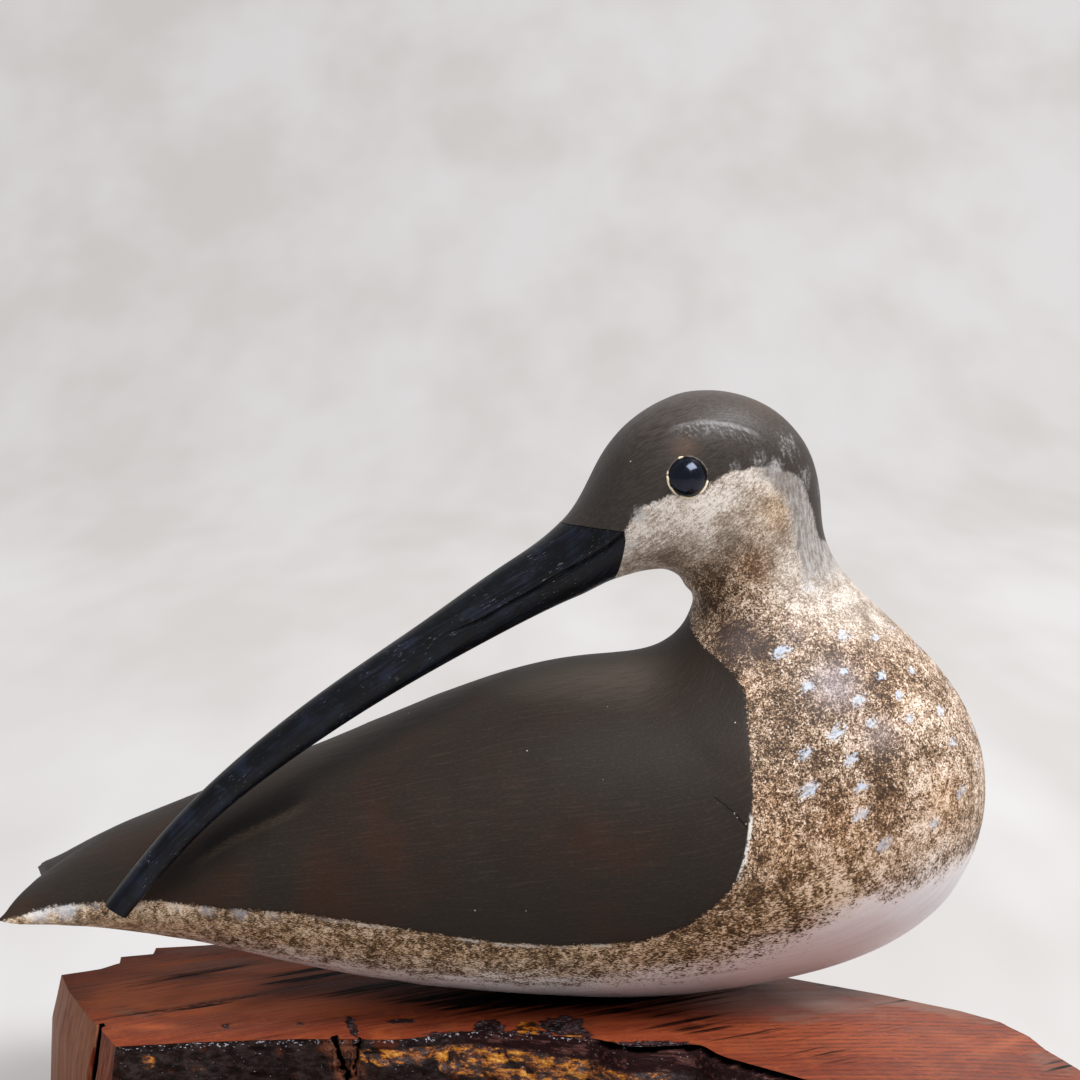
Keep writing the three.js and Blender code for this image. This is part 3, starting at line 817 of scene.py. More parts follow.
class Finish:
    """One material. Each method adds a node and returns what comes out of it."""

    def __init__(self, name):
        self.material = bpy.data.materials.new(name)
        self.material.use_nodes = True
        self.tree = self.material.node_tree
        self.shader = self.tree.nodes["Principled BSDF"]
        coordinates = self.tree.nodes.new("ShaderNodeTexCoord").outputs["Object"]
        self.where = self.scaled(coordinates, 1 / MM, 1 / MM, 1 / MM)

    def feed(self, socket, value):
        """Links what another node makes to a socket, or sets the socket to a number or a colour."""
        if isinstance(value, Amount):
            value = value.socket
        if isinstance(value, bpy.types.NodeSocket):
            self.tree.links.new(value, socket)
        else:
            socket.default_value = value

    def set(self, name, value):
        """Gives the surface a colour, a roughness or another of its qualities."""
        self.feed(self.shader.inputs[name], value)

    def scaled(self, vector, x, y, z):
        node = self.tree.nodes.new("ShaderNodeVectorMath")
        node.operation = "MULTIPLY"
        self.feed(node.inputs[0], vector)
        node.inputs[1].default_value = (x, y, z)
        return node.outputs[0]

    def moved(self, vector, x, y, z):
        node = self.tree.nodes.new("ShaderNodeVectorMath")
        self.feed(node.inputs[0], vector)
        node.inputs[1].default_value = (x, y, z)
        return node.outputs[0]

    def length(self, vector):
        node = self.tree.nodes.new("ShaderNodeVectorMath")
        node.operation = "LENGTH"
        self.feed(node.inputs[0], vector)
        return Amount(self, node.outputs["Value"])

    def leaned(self, vector, x_deg, y_deg, z_deg):
        node = self.tree.nodes.new("ShaderNodeMapping")
        self.feed(node.inputs["Vector"], vector)
        node.inputs["Rotation"].default_value = [math.radians(a) for a in (x_deg, y_deg, z_deg)]
        return node.outputs[0]

    def joined(self, x, y, z=0.0):
        node = self.tree.nodes.new("ShaderNodeCombineXYZ")
        for socket, value in zip(node.inputs, (x, y, z)):
            self.feed(socket, value)
        return node.outputs[0]

    def axis(self, name):
        node = self.tree.nodes.new("ShaderNodeSeparateXYZ")
        self.feed(node.inputs[0], self.where)
        return Amount(self, node.outputs[name])

    def calc(self, operation, *values):
        node = self.tree.nodes.new("ShaderNodeMath")
        node.operation = operation
        for socket, value in zip(node.inputs, values):
            self.feed(socket, value)
        return Amount(self, node.outputs[0])

    def centred(self, value, amount):
        """A noise around 0.5 as a push around 0, up to half the amount either way."""
        return (value - 0.5) * amount

    def mixed(self, share, low, high):
        return low + share * (high - low)

    def ramp(self, value, stops):
        """A colour that follows a value through stops of place and colour."""
        node = self.tree.nodes.new("ShaderNodeValToRGB")
        stopped = node.color_ramp.elements
        while len(stopped) < len(stops):
            stopped.new(0.5)
        for stop, (place, colour) in zip(stopped, stops):
            stop.position = place
            stop.color = colour
        self.feed(node.inputs[0], value)
        return node.outputs[0]

    def field(self, name):
        """The number that a field of the mesh holds."""
        node = self.tree.nodes.new("ShaderNodeAttribute")
        node.attribute_name = name
        return Amount(self, node.outputs["Fac"])

    def noise(self, size, detail=2.0, roughness=0.5, where=None, warp=0.0):
        """Cloudy noise around 0.5, whose lumps are about size millimetres across."""
        node = self.tree.nodes.new("ShaderNodeTexNoise")
        self.feed(node.inputs["Vector"], self.where if where is None else where)
        node.inputs["Scale"].default_value = 1 / size
        node.inputs["Detail"].default_value = detail
        node.inputs["Roughness"].default_value = roughness
        node.inputs["Distortion"].default_value = warp
        return Amount(self, node.outputs[0])

    def streaks(self, size, detail, roughness, stretch, lean=(0.0, 0.0, 0.0)):
        """Noise along axes that lean by degrees, drawn out where its stretch is under 1."""
        where = self.leaned(self.where, *lean) if any(lean) else self.where
        return self.noise(size, detail, roughness, self.scaled(where, *stretch))

    def cells(self, size):
        """Scattered points: the distance to the nearest, in cells, and a number of its own."""
        node = self.tree.nodes.new("ShaderNodeTexVoronoi")
        self.feed(node.inputs["Vector"], self.where)
        node.inputs["Scale"].default_value = 1 / size
        own = self.tree.nodes.new("ShaderNodeSeparateColor")
        self.feed(own.inputs[0], node.outputs["Color"])
        return Amount(self, node.outputs["Distance"]), Amount(self, own.outputs[0])

    def between(self, value, low, high, to_low=0.0, to_high=1.0):
        """A smooth step from to_low to to_high as the value goes from low to high."""
        node = self.tree.nodes.new("ShaderNodeMapRange")
        node.interpolation_type = "SMOOTHSTEP"
        for socket, number in zip(node.inputs, (value, low, high, to_low, to_high)):
            self.feed(socket, number)
        return Amount(self, node.outputs[0])

    def line(self, offset, half_width, softness):
        """1 on a line that a signed offset measures from, and 0 beside it."""
        return self.between(self.calc("ABSOLUTE", offset), half_width, half_width + softness, 1.0, 0.0)

    def blend(self, share, below, above, way="MIX"):
        """One colour over another, as thickly as the share says."""
        node = self.tree.nodes.new("ShaderNodeMix")
        node.data_type = "RGBA"
        node.blend_type = way
        self.feed(node.inputs[0], share)
        self.feed(node.inputs[6], below)
        self.feed(node.inputs[7], above)
        return node.outputs[2]

    def raise_by(self, *heights):
        """Bumps the surface by heights in millimetres, the coarsest first."""
        normal = None
        for height in heights:
            node = self.tree.nodes.new("ShaderNodeBump")
            node.inputs["Distance"].default_value = MM
            self.feed(node.inputs["Height"], height)
            if normal is not None:
                self.feed(node.inputs["Normal"], normal)
            normal = node.outputs[0]
        self.set("Normal", normal)


print("finish kit:", [name for name in vars(Finish) if not name.startswith("_")])

# %% [markdown]
# ## The paint of the bird
#
# The real paint is in coats: cream all over, brown stippled over it with the tip of a dry brush, a
# bare white belly, solid dark brown on the wing, back, tail and crown, and pale blue-grey dabs last.
# The finish has the same coats in the same order, with painted highlights, sheen and shade laid into
# some of them. A stipple is noise cut at a level, and the level moves with the fields, so that the grain
# stays the same while the cover grows and thins.

# %% Coats of the bird's paint
CREAM = shade(230, 214, 200)
TAN = shade(186, 156, 126)
STIPPLE_BROWN = shade(114, 82, 50)
STIPPLE_DARK = shade(48, 31, 17)
CHEEK_CREAM = shade(216, 206, 196)
CHEEK_KHAKI = shade(164, 148, 132)
CHEEK_BROWN = shade(104, 88, 74)
GOLDEN_TINT = shade(246, 222, 190)
NAPE_GREY = shade(104, 97, 92)
NAPE_PALE = shade(162, 157, 154)
PAINTED_HIGHLIGHT_BLUE = shade(196, 202, 214)
SHADED_BROWN = shade(20, 16, 14)
FOLD_LIT = shade(70, 58, 46)
RIDGE_LIT = shade(82, 73, 64)
FLANK_CREAM = shade(218, 190, 154)
FLANK_BROWN = shade(144, 109, 66)
FLANK_DARK = shade(60, 42, 22)
GREY_LILAC_AND_SHEEN = shade(172, 162, 166)
BELLY_WHITE = shade(238, 237, 240)
BELLY_SHADE = shade(231, 228, 229)
WING_BROWN = shade(42, 35, 30)
WING_LIT = shade(56, 49, 43)
WING_RED = shade(54, 34, 24)
CROWN_BROWN = shade(72, 64, 58)
CROWN_DARK = shade(48, 42, 38)
CROWN_LIT = shade(104, 96, 92)
CROWN_WARM = shade(100, 76, 60)
SCUFF_AND_SHEEN_GREY = shade(166, 162, 160)
DAB_GREY = shade(170, 174, 182)
DAB_BLUE = shade(196, 206, 220)
CHIP_WHITE = shade(226, 220, 212)
CRACK_DARK = shade(20, 15, 12)


def stipple_coat(paint, belly, crown):
    """Cream under brown stipple: its colour, how much of it there is, and its finest noise."""
    strokes = paint.joined(paint.field("travel") * 0.55, paint.field("girth"))
    pale = paint.field("pale")
    at_front = paint.between(paint.axis("X"), 60.0, 92.0)
    low_down = paint.between(belly, -30.0, -10.0)
    low_down = low_down * (1.0 - at_front * 0.85)  # the flank's stipple is laid in longer strokes

    fine = paint.noise(0.5, 3.0, 0.75, None, 1.0)
    clumps = paint.noise(1.9, 3.0, 0.65, None, 0.5)
    drawn_out = paint.noise(0.42, 3.0, 0.7, strokes, 0.5)
    grain = fine * 0.75 + clumps * 0.25
    streaks = drawn_out * 0.66 + clumps * 0.34
    grain = paint.mixed(low_down, paint.centred(grain, 6.6), paint.centred(streaks, 8.6))
    cheek = paint.between(crown, -25.0, -11.0)
    scratched = paint.streaks(0.45, 3.0, 0.75, (0.16, 1.0, 1.0), (0.0, 35.0, 0.0))
    smooth_grain = paint.centred(paint.mixed(0.5, scratched, fine), 4.2)
    smooth_grain = smooth_grain + paint.centred(paint.noise(3.0, 3.0, 0.6), 1.2)
    grain = paint.mixed(cheek * 0.85, grain, smooth_grain)

    clouds = paint.centred(paint.noise(7.0, 3.0), 1.5)
    clouds = clouds * paint.mixed(cheek, 1.0, 0.6)
    cover = 0.53 + grain + clouds - pale * 0.42 - cheek * 0.16 + low_down * 0.04
    cover = cover - paint.between(crown, -9.0, -2.5, 0.0, 0.18) - paint.between(belly, -8.0, 3.0, 0.0, 1.25)
    cover = cover - low_down * paint.between(paint.axis("X"), -40.0, -95.0, 0.02, 0.14)
    tones = paint.ramp(cover, [(0.0, CREAM), (0.32, TAN), (0.60, STIPPLE_BROWN), (1.0, STIPPLE_DARK)])
    low_tones = paint.ramp(cover, [(0.0, FLANK_CREAM), (0.4, FLANK_BROWN), (0.9, FLANK_DARK)])
    cheek_tones = paint.ramp(cover, [(0.0, CHEEK_CREAM), (0.42, CHEEK_KHAKI), (0.95, CHEEK_BROWN)])
    tones = paint.blend(cheek, tones, cheek_tones)
    white = paint.between(belly, -9.0, -2.0)
    low_tones = paint.blend(white, low_tones, tones)
    tones = paint.blend(low_down * 0.8, tones, low_tones)
    gold = paint.field("golden") * paint.between(clumps, 0.3, 0.6, 0.6, 1.0)
    tones = paint.blend(gold, tones, GOLDEN_TINT, "MULTIPLY")
    # grey lilac over the stipple: a painted sheen on the breast, and the paint's own lilac grey beside it
    lilac = paint.field("lilac") * paint.between(cover, 0.9, 0.2, 0.35, 0.9)
    tones = paint.blend(lilac, tones, GREY_LILAC_AND_SHEEN)
    # a painted highlight, bluish white, where edges catch the light
    gloss = paint.between(paint.field("gloss") + paint.centred(drawn_out, 2.4), 0.4, 1.0)
    tones = paint.blend(gloss * 0.65, tones, PAINTED_HIGHLIGHT_BLUE)
    return tones, paint.between(cover, 0.1, 0.9), fine


def bird_paint():
    paint = Finish("bird_paint")
    travel = paint.field("travel")
    girth = paint.field("girth")
    wing = paint.field("wing")
    crown = paint.field("crown")
    strokes = paint.joined(travel * 0.34, girth)
    long_strokes = paint.joined(travel * 0.07, girth)
    ragged = paint.centred(paint.noise(3.0, 4.0, 0.65, strokes), 12.0)
    belly = paint.field("belly") + ragged

    coat, cover, fine = stipple_coat(paint, belly, crown)
    bare = paint.between(cover, 0.75, 0.15) * paint.between(belly, -13.0, 3.0)
    bare = paint.calc("MAXIMUM", paint.between(belly, -2.0, 3.5), bare)
    wiped = paint.noise(0.8, 2.0, 0.6, long_strokes)
    belly_colour = paint.blend(paint.between(wiped, 0.35, 0.65), BELLY_SHADE, BELLY_WHITE)
    coat = paint.blend(bare, coat, belly_colour)

    # the grey, rubbed back of the neck
    rubbed_down = paint.streaks(0.9, 3.0, 0.7, (1.0, 1.0, 0.3), (0.0, 8.0, 0.0))
    nape = paint.field("nape") + paint.centred(paint.noise(1.6, 3.0, 0.7), 5.0)
    nape = paint.between(nape, -5.2, -2.2) * paint.field("nape_on")
    nape_colour = paint.blend(paint.between(rubbed_down, 0.36, 0.66), NAPE_GREY, NAPE_PALE)
    high_up = paint.between(paint.axis("Z"), 152.0, 161.0, 0.0, 0.5)
    nape_colour = paint.blend(high_up, nape_colour, CROWN_BROWN)
    coat = paint.blend(nape * 0.85, coat, nape_colour)

    # pale dabs, dragged with an almost dry brush
    bristles = paint.streaks(0.7, 3.0, 0.8, (0.45, 1.0, 1.0), (0.0, 36.9, 0.0))
    dab = paint.between(paint.field("dab") + paint.centred(bristles, 2.8), 0.26, 0.62)
    dab = dab * paint.between(paint.axis("Z"), 72.0, 96.0, 0.5, 0.85)
    coat = paint.blend(dab, coat, paint.blend(paint.between(bristles, 0.42, 0.60), DAB_GREY, DAB_BLUE))

    # the solid dark coats, with the brush's own streaks in them, and painted shade and highlights over them
    brush = paint.noise(0.7, 3.0, 0.6, long_strokes)
    weave = paint.noise(0.45, 2.0, 0.7, strokes)
    warm = paint.noise(24.0, 2.0) + paint.centred(brush, 0.5) + paint.field("warm") * 0.3
    dark = paint.blend(paint.between(warm, 0.5, 0.8, 0.0, 0.8), WING_BROWN, WING_RED)
    dark = paint.blend(paint.between(brush, 0.52, 0.75, 0.0, 0.6), dark, WING_LIT)
    dark = paint.blend(paint.between(weave, 0.50, 0.75, 0.0, 0.7), dark, WING_LIT)
    # painted shade in the hollow under the bill
    shaded = paint.field("shaded") * paint.between(brush, 0.35, 0.6, 0.5, 1.0)
    dark = paint.blend(shaded, dark, SHADED_BROWN)
    # a painted highlight, warm grey, along the top of the back
    ridge = paint.between(paint.axis("Z"), 105.0, 115.0) * paint.between(paint.axis("X"), 36.0, 20.0)
    ridge = ridge * paint.between(brush, 0.3, 0.6, 0.5, 0.9)
    dark = paint.blend(ridge, dark, RIDGE_LIT)
    # the fold by the tail: painted shade in it and a painted highlight along its edge
    fold_off = paint.field("fold") + paint.centred(weave, 1.6)
    fold_shade = paint.between(fold_off, -5.5, -0.6) * paint.between(fold_off, 0.6, -0.4)
    fold_shade = fold_shade * paint.field("fold_on")
    dark = paint.blend(fold_shade * 0.85, dark, SHADED_BROWN)
    fold_highlight = paint.line(fold_off - 1.2, 0.3, 0.9) * paint.field("fold_on")
    fold_highlight = fold_highlight * paint.between(weave, 0.4, 0.6, 0.1, 0.45)
    dark = paint.blend(fold_highlight, dark, FOLD_LIT)
    on_wing = paint.between(wing + paint.centred(paint.noise(0.9, 4.0, 0.75), 3.8), -0.3, 0.3)
    coat = paint.blend(on_wing, coat, dark)

    # the crown, hatched, worn at the brow and dry at its edge, with painted shade down its sides, a painted
    # highlight on top and along the brow, and scuffs with painted sheen
    hatch = paint.streaks(0.5, 3.0, 0.75, (0.14, 1.0, 1.0), (0.0, 28.0, 0.0))
    crown_colour = paint.blend(paint.between(hatch, 0.40, 0.62), CROWN_BROWN, CROWN_DARK)
    # painted shade darkens the sides of the crown and a painted highlight lightens its top
    crown_side_shade = paint.between(paint.axis("Z"), 177.0, 163.0, 0.0, 0.6)
    crown_top_highlight = paint.between(paint.axis("Z"), 170.0, 180.0, 0.0, 0.2)
    worn = paint.field("worn") * paint.between(hatch, 0.3, 0.6)
    for share, colour in ((crown_side_shade, CROWN_DARK), (crown_top_highlight, CROWN_LIT), (worn, CROWN_WARM)):
        crown_colour = paint.blend(share, crown_colour, colour)
    dry_edge = crown + paint.centred(paint.noise(0.7, 3.0, 0.75), 2.4)
    dry_edge = dry_edge + paint.centred(paint.noise(5.0, 2.0, 0.5), 2.4)
    on_crown = paint.between(dry_edge, -0.5, 0.5)
    coat = paint.blend(on_crown, coat, crown_colour)
    # grey scuffs of worn paint, with painted sheen where the crown's back and the edge of the cheek catch
    # the light
    scuff = paint.field("scuff") + paint.centred(paint.mixed(0.5, hatch, rubbed_down), 2.4)
    scuff = paint.between(scuff, 0.45, 1.2, 0.0, 0.85)
    fan = paint.streaks(0.7, 2.0, 0.6, (0.22, 1.0, 1.0), (0.0, -60.0, 0.0))
    # a painted highlight along the brow in thin strokes, with fainter strokes of it below, laid into the
    # scuffs
    brow_highlight_off = paint.field("brow") + paint.centred(fan, 1.6)
    brow = paint.line(brow_highlight_off, 0.15, 0.7) * paint.between(fan, 0.35, 0.6, 0.15, 0.45)
    below = paint.between(brow_highlight_off, -4.0, -0.5) * paint.between(brow_highlight_off, 0.5, -0.5)
    brow = paint.calc("MAXIMUM", brow, below * paint.between(fan, 0.5, 0.62, 0.0, 0.28))
    scuff = paint.calc("MAXIMUM", scuff, brow * paint.field("brow_on"))
    coat = paint.blend(scuff, coat, SCUFF_AND_SHEEN_GREY)

    # chips along the wing's edge, the crack beside it, and specks in the varnish
    chip_noise = paint.noise(1.4, 3.0, 0.75)
    low_edge = paint.line(wing + 0.5, 0.15, 0.6) * paint.between(paint.noise(9.0, 1.0), 0.46, 0.56)
    low_edge = low_edge * paint.between(paint.axis("Z"), 62.0, 56.0)
    chip_line = paint.line(paint.field("chip"), 0.22, 0.45) * paint.field("chip_on")
    chips = paint.calc("MAXIMUM", low_edge * 0.7, chip_line)
    chips = chips * paint.between(chip_noise, 0.40, 0.52)
    coat = paint.blend(chips * 0.85, coat, CHIP_WHITE)
    speck_far, speck_own = paint.cells(6.0)
    speck = paint.between(speck_far, 0.015, 0.04, 1.0, 0.0) * paint.between(speck_own, 0.6, 0.65)
    coat = paint.blend(speck * 0.6, coat, CHIP_WHITE)
    crack_far = paint.field("crack") + paint.centred(paint.noise(1.5, 2.0), 0.9)
    crack_along = paint.field("crack_along")
    crack_on = paint.between(crack_along, 0.0, 1.0) * paint.between(crack_along, 11.6, 10.4)
    crack = paint.line(crack_far, 0.08, 0.16) * crack_on
    coat = paint.blend(crack, coat, CRACK_DARK)
    flecks = paint.line(crack_far, 0.5, 0.3) * crack_on
    flecks = flecks * paint.between(paint.noise(0.8, 2.0, 0.6), 0.62, 0.70)
    flecks = flecks * paint.between(crack_along, 3.0, 8.0, 0.1, 0.8)
    coat = paint.blend(flecks, coat, CHIP_WHITE)
    paint.set("Base Color", coat)

    paint.set("Roughness", paint.between(brush, 0.3, 0.7, 0.46, 0.60) - on_crown * 0.08)
    paint.set("Specular IOR Level", 0.28 - on_crown * 0.08 - on_wing * 0.17)
    stipple_height = paint.between(paint.calc("MAXIMUM", wing, crown), -0.5, 0.5, 0.12, 0.0)
    paint.raise_by(brush * 0.05 + weave * 0.05 + fine * stipple_height)
    return paint.material


carving.data.materials.append(bird_paint())
print("bird paint:", len(carving.data.materials[0].node_tree.nodes), "nodes")

# %% [markdown]
# ## The black bill
#
# The bill is stained blue-black and rubbed. Long strokes of the knife run down it, a few of them
# scratched through to a pale grey, and the crease of the gape holds no light.

# %% Black stain
STAIN = shade(5, 6, 10)
STAIN_RUBBED = shade(22, 27, 40)
SCRATCH = shade(150, 154, 164)
CREASE_BLACK = shade(6, 6, 7)


def bill_stain():
    stain = Finish("bill_stain")
    ways = stain.joined(stain.field("travel") * 0.05, stain.field("girth"))
    strokes = stain.noise(0.6, 3.0, 0.6, ways)
    wear = stain.noise(6.0, 3.0, 0.6)
    colour = stain.blend(stain.between(strokes + wear, 0.95, 1.3), STAIN, STAIN_RUBBED)
    hairs = stain.noise(0.25, 2.0, 0.6, stain.joined(stain.field("travel") * 0.12, stain.field("girth")))
    patchy = stain.between(stain.noise(7.0, 2.0), 0.42, 0.60)
    scratch = stain.between(hairs, 0.64, 0.72) * patchy
    dot_far, dot_own = stain.cells(1.6)
    dots = stain.between(dot_far, 0.06, 0.12, 1.0, 0.0) * stain.between(dot_own, 0.7, 0.75)
    scratch = stain.calc("MAXIMUM", scratch, dots * patchy)
    colour = stain.blend(scratch * 0.5, colour, SCRATCH)
    crease = stain.line(stain.field("gape"), 0.10, 0.30)
    crease = crease * stain.between(stain.field("gape_along"), 62.0, 30.0)
    colour = stain.blend(crease, colour, CREASE_BLACK)
    stain.set("Base Color", colour)
    stain.set("Roughness", stain.between(strokes, 0.3, 0.7, 0.30, 0.46))
    stain.set("Specular IOR Level", 0.22)
    stain.raise_by(strokes * 0.12 - crease * 0.2)
    return stain.material


bill.data.materials.append(bill_stain())

# %% [markdown]
# ## Glass eyes
#
# The beads are black glass, almost a mirror, with hair scratches from years of dusting.

# %% Black glass
GLASS_BLACK = shade(0, 2, 6)
GLASS_WORN = shade(40, 52, 76)
WINDOW_TINT = shade(214, 226, 255)


def eye_glass():
    glass = Finish("eye_glass")
    hairs = glass.streaks(0.35, 2.0, 0.6, (0.1, 1.0, 1.0), (0.0, 40.0, 0.0))
    worn = glass.between(hairs, 0.60, 0.70, 0.0, 0.35)
    glass.set("Base Color", glass.blend(worn, GLASS_BLACK, GLASS_WORN))
    glass.set("Roughness", glass.between(hairs, 0.5, 0.75, 0.15, 0.25))
    glass.set("Specular IOR Level", 0.46)
    glass.set("Specular Tint", WINDOW_TINT)
    return glass.material


glass_material = eye_glass()
for eye in eyes:
    eye.data.materials.append(glass_material)

# %% [markdown]
# ## The rims of the eyes
#
# Wood filler holds each bead and shows as a thin pale ring, thicker where it was wiped less. The ring
# follows a path, the edge of the socket on the skin, so Geometry Nodes sweep it: the path is resampled,
# its radius runs up and down with noise, and a small circle is carried along it.

# %% Eye rims
RIM_RADIUS = 0.36
RIM_UNEVEN = 0.25
RIM_POINTS = 150
RIM_SIDES = 10
RIM_WAVES = 320.0  # ups and downs of the ring in a metre
SAME_PLACE = 2e-6  # metres
RIM_SEED = 7
FILLER_CREAM = shade(226, 208, 178)
FILLER_DARK = shade(70, 62, 54)


def socket_edge(node):
    """The loop of points where the socket of an eye meets the skin, in metres."""
    centre = middle_of(node)
    drill = radius_of(node) + EYE_GAP * MM
    points = placed(points_of(carving))
    on_drill = np.abs(np.linalg.norm(points - centre, axis=1) - drill) < SAME_PLACE
    edge = set()
    for line in carving.data.edges:
        a, b = line.vertices
        if on_drill[a] != on_drill[b]:
            edge.add(a if on_drill[a] else b)
    loop = points[sorted(edge)]
    away = turned((loop - centre) / MM + np.array([NECK_AXIS_X, 0, 0]), -1.0)
    return loop[np.argsort(np.arctan2(away[:, 2], away[:, 0] - NECK_AXIS_X))]


class Tree:
    """A Geometry Nodes tree with named inputs, built node by node."""

    def __init__(self, name, inputs, output):
        self.tree = bpy.data.node_groups.new(name, "GeometryNodeTree")
        for title, kind in inputs.items():
            self.tree.interface.new_socket(title, in_out="INPUT", socket_type="NodeSocket" + kind)
        self.tree.interface.new_socket(output, in_out="OUTPUT", socket_type="NodeSocketGeometry")
        self.given = self.tree.nodes.new("NodeGroupInput").outputs

    def node(self, kind, inputs, **settings):
        """A node with its settings. Each input, by name or number, is linked or gets a plain value."""
        made = self.tree.nodes.new(kind)
        for name, value in settings.items():
            setattr(made, name, value)
        for name, value in inputs.items():
            if isinstance(value, bpy.types.NodeSocket):
                self.tree.links.new(value, made.inputs[name])
            else:
                made.inputs[name].default_value = value
        return made

    def finished(self, geometry, material):
        """Ends the tree: real geometry in one material."""
        real = self.node("GeometryNodeRealizeInstances", {0: geometry})
        painted = self.node("GeometryNodeSetMaterial", {"Geometry": real.outputs[0], "Material": material})
        self.node("NodeGroupOutput", {0: painted.outputs[0]})
        return self.tree


def rim_tree(material):
    """Sweeps a small uneven ring along a loop of edges."""
    rim = Tree("eye_rim", {"Path": "Geometry", "Radius": "Float", "Unevenness": "Float", "Points": "Int",
                           "Seed": "Int"}, "Rim")
    path = rim.node("GeometryNodeMeshToCurve", {"Mesh": rim.given["Path"]})
    even = rim.node("GeometryNodeResampleCurve", {"Curve": path.outputs[0], "Count": rim.given["Points"]})
    wave = rim.node("ShaderNodeTexNoise", {}, noise_dimensions="4D")
    wave.inputs["Scale"].default_value = RIM_WAVES
    wave.inputs["Detail"].default_value = 3.0
    rim.tree.links.new(rim.given["Seed"], wave.inputs["W"])
    least = rim.node("ShaderNodeMath", {0: 1.0, 1: rim.given["Unevenness"]}, operation="SUBTRACT")
    share = rim.node("ShaderNodeMapRange", {"Value": wave.outputs[0], "From Min": 0.35, "From Max": 0.65,
                                            "To Min": least.outputs[0]}, clamp=True)
    thick = rim.node("ShaderNodeMath", {0: share.outputs[0], 1: rim.given["Radius"]}, operation="MULTIPLY")
    sized = rim.node("GeometryNodeSetCurveRadius", {"Curve": even.outputs[0], "Radius": thick.outputs[0]})
    profile = rim.node("GeometryNodeCurvePrimitiveCircle", {"Resolution": RIM_SIDES, "Radius": 1.0})
    swept = rim.node("GeometryNodeCurveToMesh", {"Curve": sized.outputs[0],
                                                 "Profile Curve": profile.outputs[0]})
    if "Scale" in swept.inputs:
        rim.tree.links.new(thick.outputs[0], swept.inputs["Scale"])
    return rim.finished(swept.outputs[0], material)


def grow(made, tree, settings):
    """Gives an object a tree with its settings and applies it."""
    modifier = made.modifiers.new(tree.name, "NODES")
    modifier.node_group = tree
    for item in tree.interface.items_tree:
        if item.in_out == "INPUT" and item.name in settings:
            modifier[item.identifier] = settings[item.name]
    apply_modifiers(made)


filler = Finish("rim_filler")
# the ring is patchy, and darker towards the top of the eye
filler_darkening = filler.noise(2.5, 2.0) + filler.between(filler.axis("Z"), 158.0, 165.5, -0.15, 0.3)
filler_darkening = filler.between(filler_darkening, 0.54, 0.66)
filler.set("Base Color", filler.blend(filler_darkening, FILLER_CREAM, FILLER_DARK))
filler.set("Roughness", 0.6)
rims = []
for node in EYE_NODES:
    loop = socket_edge(node)
    count = len(loop)
    ring = bpy.data.meshes.new("rim_" + node)
    ring.from_pydata(loop.tolist(), [(i, (i + 1) % count) for i in range(count)], [])
    rim = bpy.data.objects.new("rim_" + node, ring)
    bpy.context.collection.objects.link(rim)
    grow(rim, rim_tree(filler.material), {"Radius": RIM_RADIUS * MM, "Unevenness": RIM_UNEVEN,
                                          "Points": RIM_POINTS, "Seed": RIM_SEED})
    rims.append(rim)
print("eye rims:", [(rim.name, len(rim.data.polygons)) for rim in rims])

# %% [markdown]
# ## The slab
#
# The slab is one piece of red wood that was sawn on the top, the back and both ends, and kept its bark
# in front. Its outline is the part's, walked in short steps so that the bark can be rough. Every point
# of a side is moved out or in by the relief at that place: plates of bark, the crack, the slot by the
# left corner, and the black gap where the bark has come away from the wood.

# %% Outline and relief of the slab
SLAB_OUTLINE = [
    (-109.0, 5.7), (-100.0, 10.6), (-96.0, 15.6), (-96.5, 20.7), (-88.6, 23.3), (-88.6, 28.5),
    (-76.0, 30.8), (-50.0, 39.0), (-15.0, 40.0), (18.0, 34.0), (48.0, 21.0), (74.0, 3.2),
    (95.0, -9.5), (113.0, -22.5), (121.0, -30.6), (126.0, -41.3), (128.0, -50.0), (133.0, -63.6),
    (135.0, -74.0), (131.0, -85.0), (119.0, -92.0), (102.0, -90.0), (85.0, -80.0), (71.0, -70.0),
    (60.0, -60.4), (53.0, -54.4), (48.7, -46.0), (33.0, -48.5), (24.0, -42.0), (-5.0, -36.8),
    (-21.0, -43.2), (-44.0, -42.7), (-67.0, -44.8), (-86.5, -48.0), (-91.2, -37.6), (-94.0, -32.0),
    (-98.0, -23.2), (-104.6, -7.9),
]
SLAB_THICKNESS = (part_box("stand_slab")[1].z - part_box("stand_slab")[0].z) / MM
SLAB_FLARE = 4.0
SLAB_LEAN = ((0.0, 0.35, 1.0), (0.0, 0.7, 1.0))  # how far out the sides are, by the share of the depth
BARK_FROM = (-86.5, -48.0)
BARK_TO = (119.0, -92.0)
BARK_STEP = 0.5
SAWN_STEP = 1.5
CORNER_ROUNDING = 6  # steps of the bark either way over which its outline is smoothed
SIDE_LEVELS = 34
LEVELS_CROWDING = 1.6  # above 1 the levels crowd towards the top
TOP_STEP = 1.7
TOP_FINE_STEP = 0.85
TOP_FINE_BAND = 9.0
SLOT_PLACE = (-92.8, -34.4)
SLOT_TRAVEL = (2.5, -5.3)  # how far the slot moves along the wall from the top to the bottom
SLOT_HALF_WIDTH = 1.35
SLOT_FINE_REACH = 6.0
SLOT_DEPTH = (0.8, 2.6)
STRIP_WIDTH = 8.0  # the redder strip of the end, between the slot and the corner
PIT_DEPTH = 0.45
SLAB_SHARP_DEG = 42.0
